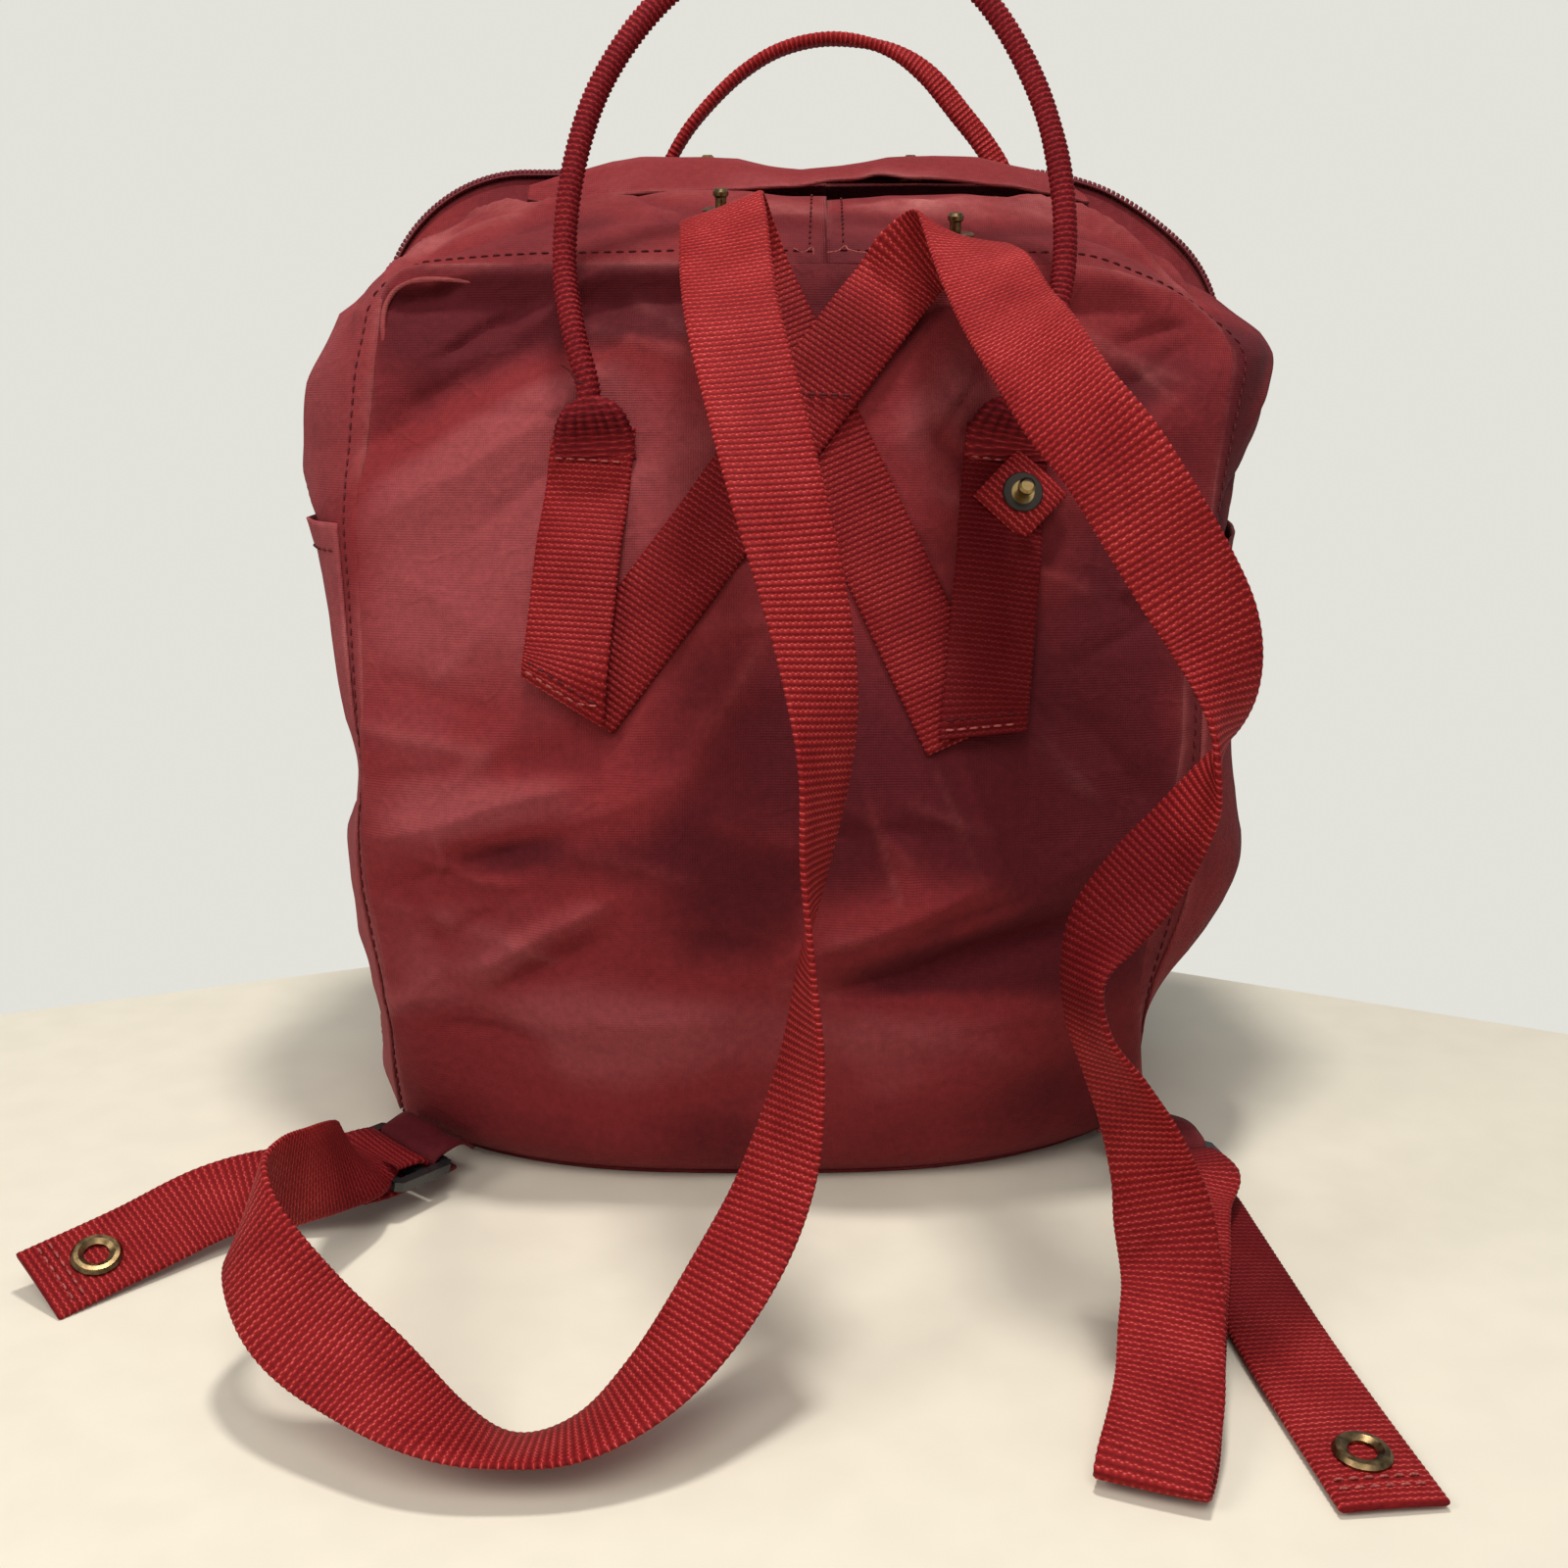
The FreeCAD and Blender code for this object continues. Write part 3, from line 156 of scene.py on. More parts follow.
def softNoise(x, y, size, seed):
    # Random heights on a lattice of that size, joined smoothly.
    table = np.random.default_rng(seed).uniform(-1, 1, (64, 64))
    u, v = np.asarray(x) / size + 97.3, np.asarray(y) / size + 41.7
    i, j = np.floor(u).astype(int), np.floor(v).astype(int)
    fu, fv = u - i, v - j
    fu, fv = fu * fu * (3 - 2 * fu), fv * fv * (3 - 2 * fv)
    low = table[i % 64, j % 64] * (1 - fu) + table[(i + 1) % 64, j % 64] * fu
    high = table[i % 64, (j + 1) % 64] * (1 - fu) + table[(i + 1) % 64, (j + 1) % 64] * fu
    return low * (1 - fv) + high * fv


def creases(x, z, lines):
    # Each line is a ridge (or valley, if its height is negative) with its own width on each side.
    # The cross section is half a bell curve and half a sharp peak.
    total = np.zeros(np.broadcast(x, z).shape)
    for x0, z0, x1, z1, wideAbove, wideBelow, height in lines:
        dx, dz = x1 - x0, z1 - z0
        length = math.hypot(dx, dz)
        along = ((x - x0) * dx + (z - z0) * dz) / length ** 2
        off = ((z - z0) * dx - (x - x0) * dz) / length
        width = np.where(off > 0, wideAbove, wideBelow)
        ends = ease(-0.2, 0.25, along) * ease(-0.2, 0.25, 1 - along)
        bend = 0.12 * np.abs(height) * np.sin(7.0 * along + x0)
        off = (off + bend) / width
        total = total + height * (0.4 * np.exp(-off ** 2) + 0.6 * np.exp(-1.5 * np.abs(off))) * ends
    return total


def rumples(x, z, size, seed):
    # Crisp random folds: a smooth noise folded at its zero lines, so that thin ridges run between flats.
    warp = 0.35 * size
    shiftX = softNoise(x, z, size * 1.7, seed + 50) * warp
    shiftZ = softNoise(x, z, size * 1.7, seed + 51) * warp
    ridges = 1 - np.abs(softNoise(x + shiftX, z + shiftZ, size, seed)) * 1.6
    return np.clip(ridges, 0.0, 1.0) ** 2 * (0.4 + 0.6 * softNoise(x, z, size * 2.3, seed + 52))


def withNoise(heights, place, layers, shift=0):
    # Adds layers of noise to the heights. Each is its kind, weight, size and seed, which shift moves on.
    for kind, weight, size, seed in layers:
        heights = heights + weight * kind(*place, size, seed + shift)
    return heights


def smoothPath(points, step):
    # A smooth curve through points with any number of columns, sampled at even steps of its first three.
    p = np.asarray(points, dtype=float)
    gaps = np.maximum(np.linalg.norm(np.diff(p[:, :3], axis=0), axis=1), 1e-6) ** 0.5
    knots = np.concatenate([[0.0], np.cumsum(gaps)])
    slopes = np.empty_like(p)
    parts = np.diff(p, axis=0) / np.diff(knots)[:, None]
    weights = np.diff(knots)[:, None]
    slopes[1:-1] = (parts[:-1] * weights[1:] + parts[1:] * weights[:-1]) / (weights[1:] + weights[:-1])
    slopes[0], slopes[-1] = parts[0], parts[-1]
    fine = []
    for i in range(len(p) - 1):
        h = knots[i + 1] - knots[i]
        t = np.linspace(0, 1, 25)[:-1, None]
        a, b = 2 * t ** 3 - 3 * t ** 2 + 1, t ** 3 - 2 * t ** 2 + t
        c, d = -2 * t ** 3 + 3 * t ** 2, t ** 3 - t ** 2
        fine.append(a * p[i] + b * h * slopes[i] + c * p[i + 1] + d * h * slopes[i + 1])
    fine = np.concatenate(fine + [p[-1:]])
    run = np.concatenate([[0.0], np.cumsum(np.linalg.norm(np.diff(fine[:, :3], axis=0), axis=1))])
    count = max(2, int(round(run[-1] / step)) + 1)
    at = np.linspace(0, run[-1], count)
    return np.stack([np.interp(at, run, fine[:, k]) for k in range(p.shape[1])], -1), at


# Form of the bag, the same as its CAD form, with the folds that the cloth adds.

bag = dict(height=280.0, footHalf=117.0, headHalf=135.0, corner=24.0, tightCorner=14.0, foot=1.1, lean=14.0,
           footDepth=61.0, slope=54.0, belly=16.0, wrap=14.0, turnUnder=12.0, turnHeight=17.0,
           zipHeight=318.0, zipFootHalf=129.0, zipHeadHalf=150.0, zipCorner=50.0, zipDepth=50.0,
           zipSlope=33.0, zipGap=3.1, gussetDepth=120.0, bandDepth=14.0, bandDraw=3.0, frontBelly=10.0)

# Folds of the back panel: x and z of both ends, width above and below, height.
backFolds = [
    # big crease low on the right: its overhanging upper lip, the dark valley and the full cloth below
    (12, 66, 96, 86, 7, 4, -7.0), (40, 74, 96, 92, 5, 5, -3.0), (4, 78, 60, 100, 8, 4, 4.4),
    (20, 52, 92, 58, 12, 16, 3.4), (56, 92, 108, 112, 12, 10, 2.4),
    # low left: three slanting ridges with hollows between them, and the full patch beside them
    (-126, 110, -60, 129, 6, 9, 4.2), (-116, 96, -58, 117, 6, 6, -3.6), (-108, 106, -78, 98, 3, 4, 2.4),
    (-94, 72, -52, 95, 4, 5, 3.4), (-86, 66, -54, 84, 4, 5, -3.2), (-78, 56, -6, 60, 9, 14, 3.6),
    (-104, 54, -68, 48, 7, 9, -2.4), (-112, 96, -100, 76, 4, 4, -1.8), (-98, 84, -84, 92, 3, 3, -1.6),
    # top left: hollow under the seam, slanting fall of the cloth to the side seam
    (-116, 266, -20, 269, 9, 13, -6.5), (-138, 220, -62, 262, 12, 12, -4.4),
    (-128, 200, -54, 244, 14, 14, 4.6), (-106, 252, -80, 266, 2.5, 4, -3.4), (-82, 258, -58, 277, 4, 4, 3.0),
    (-122, 268, -102, 272.5, 3, 3, -4.4), (-122, 273, -100, 276, 2, 3, 2.4),
    (-70, 240, -46, 258, 4, 5, -2.2), (-116, 236, -92, 250, 4, 5, -2.0),
    # top right
    (60, 262, 112, 268, 9, 13, -5.0), (92, 232, 128, 262, 12, 12, -4.2), (88, 206, 122, 240, 12, 12, 3.4),
    (100, 254, 124, 268, 3, 4, -2.4), (30, 258, 56, 270, 6, 6, -2.2), (34, 226, 60, 246, 8, 6, 2.6),
    (44, 232, 58, 214, 5, 4, -2.4),
    # soft pulls under the strip ends and from the handle root
    (-28, 132, -74, 112, 8, 6, 2.2), (24, 130, 42, 88, 3, 4, 1.7), (50, 140, 66, 98, 3, 4, 1.5),
    (-96, 176, -60, 160, 10, 8, 1.8), (84, 150, 114, 118, 7, 8, -2.4), (-72, 234, -40, 264, 6, 6, 3.0),
    (-46, 144, -86, 132, 5, 6, -1.8), (-20, 118, 10, 110, 8, 7, 1.6), (-12, 28, 60, 34, 8, 9, 1.8),
    (-122, 158, -86, 148, 6, 8, -1.6), (-120, 188, -96, 176, 7, 6, 1.4), (88, 188, 116, 170, 7, 7, -1.6),
]


# Small random forms of the cloth, as layers for withNoise.
backNoise = [(softNoise, 1.0, 34, 3), (softNoise, 0.4, 13, 4), (rumples, 1.3, 44, 5), (rumples, 0.6, 19, 6)]
frontNoise = [(softNoise, 1.2, 42, 21), (softNoise, 0.5, 16, 22), (rumples, 1.2, 52, 23),
              (rumples, 0.5, 24, 24)]
sideNoise = [(softNoise, 1.3, 30, 11), (softNoise, 0.55, 12, 14)]
sideRumples = [(rumples, 0.9, 34, 17), (rumples, 0.4, 17, 27)]


def crumpled(seed, count, left, right, low, high):
    # Short random creases, most of them near level, as worn cloth keeps.
    draw = np.random.default_rng(seed)
    lines = []
    for _ in range(count):
        x, z = draw.uniform(left, right), draw.uniform(low, high)
        angle = draw.normal(0.0, 0.45) + (0.35 if x < 0 else -0.2)
        length = draw.uniform(9, 26)
        dx, dz = length * math.cos(angle), length * math.sin(angle)
        height = draw.uniform(0.5, 1.6) * (1 if draw.random() < 0.5 else -1)
        lines.append((x - dx, z - dz, x + dx, z + dz, draw.uniform(2, 5), draw.uniform(2, 5), height))
    return lines


randomFolds = crumpled(8, 52, -118, 118, 16, 258)
thinFolds = [
    (-103, 114, -100, 105, 1.6, 1.6, 1.2), (-100, 105, -106, 95, 1.6, 1.6, 1.2),
    (-100, 105, -88, 99, 1.6, 1.8, 1.1),
    (23, 130, 34, 94, 1.3, 1.6, 1.1), (43, 136, 58, 102, 1.3, 1.6, 0.9), (-82, 82, -68, 76, 1.8, 2.0, 1.2),
    (46, 226, 60, 248, 1.6, 2.0, -1.4), (108, 250, 120, 238, 1.8, 2.0, 1.2),
    (-46, 268, -24, 256, 2.0, 2.4, 1.3),
]
backFolds += randomFolds + thinFolds


def middleX(z):
    # The bag leans to the right as it rises.
    return bag["lean"] * (z / bag["height"] - 0.5)


def backHalf(z):
    # Half width of the back panel, which widens smoothly with height.
    return bag["footHalf"] + (bag["headHalf"] - bag["footHalf"]) * ease(39.2, 240.8, z)


def zipHalf(z):
    # Half width of the zip's arch, in the same way.
    return bag["zipFootHalf"] + (bag["zipHeadHalf"] - bag["zipFootHalf"]) * ease(19.6, 249.2, z)


def plainBackY(x, z):
    # The back panel without its folds: a slope with a belly low down, and edges that turn forward.
    rise = np.maximum(z, 0.0) / bag["height"]
    across = np.abs(x - middleX(z)) / backHalf(np.minimum(z, bag["height"]))
    belly = bag["belly"] * np.exp(-((rise - 0.375) / 0.28) ** 2)
    wrap = bag["wrap"] * (1.0 + 1.57 * np.exp(-11.0 * rise)) * across ** 3
    return -bag["footDepth"] + bag["slope"] * rise ** 2.2 - belly + wrap


def backY(x, z):
    # Outwards is -Y, so a ridge lowers y; the cloth turns under at the floor.
    x, z = np.asarray(x, dtype=float), np.asarray(z, dtype=float)
    folds = withNoise(creases(x, z, backFolds), (x, z), backNoise)
    room = ease(0, 14, z) * ease(0, 8, bag["height"] - z)
    under = bag["turnUnder"] * np.clip(1 - z / bag["turnHeight"], 0, 1) ** 2.2
    return plainBackY(x, z) - folds * room + under


def zipY(z):
    # The zip's middle plane slopes forward.
    return bag["zipDepth"] + bag["zipSlope"] * z / bag["zipHeight"]


def frontHalf(z):
    return zipHalf(z) - bag["bandDraw"]


def frontY(x, z):
    # The front panel: the zip's plane and the band, with a belly and soft folds that end at its edges.
    top = bag["zipHeight"] - bag["bandDraw"]
    across = np.minimum(1.0, np.abs(x - middleX(z)) / frontHalf(z))
    up = np.sin(np.pi * np.clip(z / top, 0, 1)) ** 0.7
    soft = withNoise(0.0, (x, z), frontNoise)
    belly = bag["frontBelly"] * (1 - across ** 2) * up
    return zipY(z) + bag["bandDepth"] + belly + 0.1 + soft * up * (1 - across ** 4)


def arch(place, foot, top, radius, half):
    # Half an arch: side 0 to 1, corner 1 to 2, top 2 to 3. Offset, height and normal.
    place = np.asarray(place, dtype=float)
    sideZ = foot + (top - radius - foot) * place
    turn = np.radians(90.0 * np.clip(place - 1.0, 0, 1))
    centre = half(np.asarray(top)) - radius
    onSide, onCorner = place <= 1, place <= 2
    topX, cornerX = centre * (3 - place), centre + radius * np.cos(turn)
    x = np.where(onSide, half(sideZ), np.where(onCorner, cornerX, topX))
    z = np.where(onSide, sideZ, np.where(onCorner, top - radius + radius * np.sin(turn), top))
    nx = np.where(onSide, 1.0, np.where(onCorner, np.cos(turn), 0.0))
    nz = np.where(onSide, 0.0, np.where(onCorner, np.sin(turn), 1.0))
    return x, z, nx, nz


# How the side seams of the back panel wander, and how far each side stands out at half depth, by height.
seamDrift = {
    -1: ([0, 18, 57, 98, 155, 206, 240, 271, 290], [0, 1, -1, -4, -1, -2, 1, 1, 1]),
    1: ([0, 22, 40, 63, 79, 138, 158, 190, 220, 256, 290], [4, 5, 0, -4, -5, -5, -8, -6, -4, 1, 0]),
}
sideReach = {
    -1: ([0, 12, 30, 48, 64, 80, 96, 112, 124, 138, 152, 168, 184, 203, 213, 223, 235, 248, 262],
         [134, 132.5, 132.6, 130, 133.2, 136, 137.9, 138, 131.5, 134.5, 141.5, 145, 147.5, 152.5, 155.5, 158,
          161, 164.5, 157]),
    1: ([0, 10, 18, 28, 40, 52, 66, 80, 95, 112, 135, 165, 192, 207, 214, 226, 239, 250, 262],
        [120, 119, 116, 115, 116, 121, 129.2, 140.8, 148, 145.5, 144, 145.5, 144.2, 148.8, 152.2, 155, 159,
         158.2, 159.5]),
}
# How far the corner cloth stands out, round from the side to the top.
cornerPlaces = [1, 1.12, 1.25, 1.5, 1.75, 2.0, 2.3]
cornerSwell = {
    -1: (cornerPlaces, [10.5, 7, 2.8, -3, -5, -3, 0]),
    1: (cornerPlaces, [10.5, 8.6, 3.4, -5, -5.5, -3, 0]),
}
# The top over its depth: the crest near the back seam, and the hollow behind it.
topCrest = ([0, 0.06, 0.1, 0.2, 0.3, 0.4, 0.5, 0.58, 0.66, 1], [0, 1.9, 2.7, 4.4, 5.6, 5.8, 5.0, 3.0, 0, 0])
topHollow = ([0, 0.5, 0.58, 0.66, 0.75, 0.83, 0.9, 0.95, 1],
             [0, 0, -0.3, -1.6, -5.0, -6.8, -6.6, -4.6, -1.6])


slump = dict(drop=11.2, overX=(88, 141), overZ=(230, 285))


def slumped(points):
    # The right top corner has slumped: its cloth, zip and front edge all hang lower.
    points = np.array(points, dtype=float)
    share = ease(*slump["overX"], points[..., 0]) * ease(*slump["overZ"], points[..., 2])
    points[..., 2] -= slump["drop"] * share
    return points


def smoothTable(value, table):
    # The table's straight runs, rounded over about 12 mm.
    return sum(share * np.interp(value + step, *table) for step, share in
               ((-7, 0.12), (-3.5, 0.22), (0, 0.32), (3.5, 0.22), (7, 0.12)))


def arcLength(place):
    # Run round the bag from the foot of the side, over the corner, to the middle of the top.
    return np.interp(place, [0, 1, 2, 3], [0, 240, 300, 405])


def sidePoint(side, place, along, lift=0.0):
    # A point of the side and top gusset, from the back seam (along 0) to the zip (along 1): the straight
    # line between the two arches, pushed out by a half wave that reaches the table's width, and by its folds.
    corner = bag["corner"] if side > 0 else bag["tightCorner"]
    bx, bz, bnx, bnz = arch(place, bag["foot"], bag["height"], corner, backHalf)
    fx, fz, fnx, fnz = arch(place, bag["foot"], bag["zipHeight"], bag["zipCorner"], zipHalf)
    drift = smoothTable(bz, seamDrift[side]) * (1 - ease(1.0, 2.2, place))
    startX = middleX(bz) + side * bx + drift
    startY = backY(startX, bz) + 0.3
    endX, endY = middleX(fz) + side * fx, zipY(fz) - bag["zipGap"]
    nx = side * (bnx * (1 - along) + fnx * along)
    nz = bnz * (1 - along) + fnz * along
    size = np.hypot(nx, nz)
    nx, nz = nx / size, nz / size
    x, y = startX * (1 - along) + endX * along, startY * (1 - along) + endY * along
    z = bz * (1 - along) + fz * along
    sideAmount = smoothTable(z, sideReach[side]) - np.abs((startX + endX) / 2)
    mix = ease(0.8, 1.08, place)
    amount = sideAmount * (1 - mix) + np.interp(place, *cornerSwell[side]) * mix
    cloth = (arcLength(place), along * bag["gussetDepth"])
    soft = withNoise(0.0, cloth, sideNoise, side) + 1.5 * creases(*cloth, sideFolds[side])
    soft = withNoise(soft, cloth, sideRumples, side)
    edge = np.minimum(1.0, np.minimum(along, 1 - along) * 7)
    profile = np.sin(np.pi * along ** 0.78)
    out = amount * profile + soft * edge + lift
    out = out - 1.3 * np.exp(-along * 60) + np.interp(along, *topHollow) * ease(1.0, 1.5, place)
    rise = np.interp(along, *topCrest) * ease(1.8, 2.5, place)
    x = x + 6.0 * ease(2.3, 3.0, place)
    return slumped(np.stack([x + nx * out, y, z + nz * out + rise], -1))


# Folds of the gussets, in run round the bag and depth.
sideFolds = {
    -1: [(100, 10, 128, 90, 7, 6, -2.6), (180, 20, 214, 80, 8, 8, 1.6), (232, 10, 262, 70, 7, 7, -2.4),
         (256, 6, 290, 60, 6, 6, 2.2), (286, 14, 330, 40, 8, 6, -2.0), (300, 46, 380, 66, 7, 8, 1.6),
         (330, 26, 400, 40, 6, 6, -1.2), (20, 30, 60, 100, 9, 9, 2.0), (302, 72, 338, 42, 3, 4, 1.9),
         (288, 82, 316, 62, 3, 3, 1.5), (350, 60, 374, 34, 3, 4, -1.5), (262, 30, 282, 64, 3, 4, 1.4)],
    1: [(188, 8, 206, 70, 6, 6, -3.2), (214, 16, 250, 66, 9, 8, 1.8), (252, 8, 276, 60, 7, 6, -2.0),
        (276, 14, 316, 50, 7, 7, 2.0), (300, 30, 356, 22, 6, 6, -1.8), (318, 50, 390, 44, 8, 8, 1.4),
        (340, 70, 392, 78, 7, 7, -1.5), (60, 20, 84, 96, 9, 9, 2.2), (24, 30, 42, 90, 8, 8, -2.2),
        (298, 38, 338, 66, 3, 4, 2.2), (290, 22, 322, 48, 3, 3, -1.5), (346, 28, 374, 44, 3, 4, 1.7),
        (320, 64, 350, 86, 4, 3, 1.6), (262, 40, 284, 74, 3, 4, 1.6)],
}


# Materials.

class NodeGraph:
    # The nodes of a material or world, with a short method for each kind that is used often.
    # A value that a method takes is a number, a colour or another node's socket.

    def __init__(self, tree):
        self.nodes, self.links = tree.nodes, tree.links

    def add(self, kind, settings=None, **inputs):
        node = self.nodes.new("ShaderNode" + kind)
        for key, value in (settings or {}).items():
            setattr(node, key, value)
        for key, value in inputs.items():
            self.put(value, node.inputs[key.replace("_", " ")])
        return node

    def put(self, value, socket):
        if isinstance(value, tuple):
            socket.default_value = (*value, 1.0)
        elif isinstance(value, (int, float)):
            socket.default_value = value
        else:
            self.links.new(value, socket)

    def coords(self, kind="Object"):
        return self.add("TexCoord").outputs[kind]

    def attribute(self, name):
        return self.add("Attribute", dict(attribute_name=name)).outputs["Fac"]

    def calc(self, operation, *values, clamp=False):
        node = self.add("Math", dict(operation=operation, use_clamp=clamp))
        for value, socket in zip(values, node.inputs):
            self.put(value, socket)
        return node.outputs[0]

    def scaled(self, value, factor, offset, clamp=False):
        return self.calc("MULTIPLY_ADD", value, factor, offset, clamp=clamp)

    def mix(self, factor, a, b, blend="MIX"):
        node = self.add("Mix", dict(data_type="RGBA", blend_type=blend))
        for value, place in ((factor, 0), (a, 6), (b, 7)):
            self.put(value, node.inputs[place])
        return node.outputs[2]

    def noise(self, coords, scale, detail=3.0, rough=0.5):
        node = self.add("TexNoise", Vector=coords, Scale=scale, Detail=detail, Roughness=rough)
        return node.outputs["Fac"]

    def threads(self, coords, direction, scale):
        # threads that lie side by side, a little uneven
        node = self.add("TexWave", dict(bands_direction=direction), Vector=coords, Scale=scale,
                        Distortion=1.2, Detail=1.0)
        return node.outputs["Fac"]

    def ramp(self, value, low, high):
        # 0 at low and 1 at high, with a smooth change between
        node = self.add("MapRange", dict(interpolation_type="SMOOTHSTEP"), Value=value, From_Min=low,
                        From_Max=high)
        return node.outputs["Result"]

    def bump(self, shader, height, strength, distance):
        node = self.add("Bump", Strength=strength, Distance=distance, Height=height)
        self.put(node.outputs["Normal"], shader.inputs["Normal"])


def nodeMaterial(name, **sockets):
    # A material with its graph and its shader, whose named sockets are set.
    material = bpy.data.materials.new(name)
    material.use_nodes = True
    graph = NodeGraph(material.node_tree)
    shader = graph.nodes["Principled BSDF"]
    for key, value in sockets.items():
        graph.put(value, shader.inputs[key.replace("_", " ")])
    return material, graph, shader


canvasLook = dict(red=(0.185, 0.0185, 0.0215), wine=(0.083, 0.0078, 0.0115), dusty=(0.268, 0.054, 0.059),
                  pale=(0.380, 0.120, 0.115), rough=0.72, shine=0.08, sheen=0.02, weave=430.0)


def canvasMaterial(name, look):
    # Wine red where the tone is low, dusty pink where it is high, pale where the wear is high. Both
    # attributes hold the cloth's fading and rubbing and, in places, painted light and shade.
    material, g, shader = nodeMaterial(name, Specular_IOR_Level=look["shine"], Sheen_Weight=look["sheen"],
                                       Sheen_Roughness=0.5, Sheen_Tint=(1.0, 0.75, 0.72))
    place = g.coords()
    broad = g.noise(place, 9.0, 4.0, 0.55)
    patches = g.noise(place, 26.0, 5.0, 0.6)
    fine = g.noise(place, 420.0, 2.0, 0.6)
    level = g.calc("ADD", g.attribute("tone"), g.scaled(broad, 0.9, -0.45))
    level = g.calc("ADD", level, g.scaled(patches, 0.9, -0.45))
    colour = g.mix(g.ramp(level, -0.75, 0.05), look["wine"], look["red"])
    dust = g.calc("MULTIPLY", g.ramp(level, 0.1, 0.95), 0.75)
    colour = g.mix(dust, colour, look["dusty"])
    rub = g.calc("MULTIPLY", g.attribute("wear"), g.ramp(patches, 0.35, 0.7))
    colour = g.mix(g.calc("MULTIPLY", rub, 0.8), colour, look["pale"])
    colour = g.mix(1.0, colour, g.scaled(fine, 0.5, 0.75), "MULTIPLY")
    g.put(colour, shader.inputs["Base Color"])
    g.put(g.scaled(patches, 0.22, look["rough"] - 0.11), shader.inputs["Roughness"])
    weft, warp = (g.threads(place, direction, look["weave"]) for direction in "XZ")
    # thin wrinkles: the zero lines of a noise, drawn sharp
    wrinkle = g.calc("ABSOLUTE", g.calc("SUBTRACT", g.noise(place, 38.0, 3.0, 0.55), 0.5))
    height = g.scaled(g.calc("ADD", weft, warp), 0.25, g.calc("MULTIPLY", patches, 3.0))
    height = g.scaled(fine, 0.45, height)
    height = g.scaled(g.ramp(wrinkle, 0.05, 0.0), 0.55, height)
    g.bump(shader, height, 0.6, 0.0005)
    return material


webLook = dict(red=(0.440, 0.026, 0.026), dark=(0.060, 0.0015, 0.0035), bright=(0.600, 0.115, 0.105),
               rib=1.8, dot=1.9, rough=0.58, shine=0.05, sheen=0.01)


def webMaterial(name, look):
    # Cosine ribs along the run with a knot of yarn at each crossing; rib and dot are their spacing in mm.
    # UV: U is the run along the webbing and V the place across it, both in centimetres.
    material, g, shader = nodeMaterial(name, Roughness=look["rough"], Specular_IOR_Level=look["shine"],
                                       Sheen_Weight=look["sheen"], Sheen_Tint=(1.0, 0.35, 0.3))
    place = g.coords()
    split = g.add("SeparateXYZ", Vector=g.coords("UV"))
    u, v = split.outputs[0], split.outputs[1]
    ribsPerCm, dotsPerCm = 10 / look["rib"], 10 / look["dot"]
    ribTurn = g.calc("MULTIPLY", u, 2 * math.pi * ribsPerCm)
    rib = g.scaled(g.calc("COSINE", ribTurn), 0.5, 0.5)
    # the next rib's knots sit between this one's
    row = g.calc("FLOOR", g.calc("MULTIPLY", u, ribsPerCm))
    dotTurn = g.scaled(v, 2 * math.pi * dotsPerCm, g.calc("MULTIPLY", row, math.pi))
    knot = g.calc("MULTIPLY", rib, g.scaled(g.calc("COSINE", dotTurn), 0.5, 0.5))
    wander = g.noise(place, 60.0, 3.0)
    fuzz = g.noise(place, 1100.0, 2.0)
    # the weave drawn in colour: painted shade in the grooves between ribs, and painted highlights on the
    # knots' tops from the bright colour
    shade = g.scaled(knot, 0.50, g.scaled(rib, 0.22, 0.24))
    shade = g.calc("ADD", shade, g.scaled(wander, 0.4, -0.2))
    shade = g.scaled(fuzz, 0.4, g.calc("SUBTRACT", shade, 0.2), clamp=True)
    colour = g.mix(shade, look["dark"], look["red"])
    colour = g.mix(g.ramp(shade, 0.72, 1.05), colour, look["bright"])
    # the fade attribute darkens the webbing; on the right root strip, the straps' turned-under stretches, the
    # webbing near the buckles and the handle's hoods it is painted shade and shadow
    colour = g.mix(g.attribute("fade"), colour, look["dark"])
    g.put(colour, shader.inputs["Base Color"])
    height = g.scaled(knot, 0.7, g.calc("MULTIPLY", rib, 0.6))
    g.bump(shader, g.scaled(fuzz, 0.25, height), 0.7, 0.0005)
    return material


def plainMaterial(name, colour, rough, metal=0.0, bumpScale=300.0, bumpSize=0.0002, vary=0.25, coat=0.0,
                  shine=0.5):
    # One colour with patches up to vary darker and lighter, and a fine grain.
    material, g, shader = nodeMaterial(name, Metallic=metal, Coat_Weight=coat, Specular_IOR_Level=shine)
    patches = g.noise(g.coords(), bumpScale, 4.0)
    darker = tuple(c * (1 - vary) for c in colour)
    lighter = tuple(min(1.0, c * (1 + vary)) for c in colour)
    g.put(g.mix(g.ramp(patches, 0.3, 0.7), darker, lighter), shader.inputs["Base Color"])
    g.put(g.scaled(patches, 0.3, rough - 0.15), shader.inputs["Roughness"])
    g.bump(shader, patches, 0.4, bumpSize)
    return material


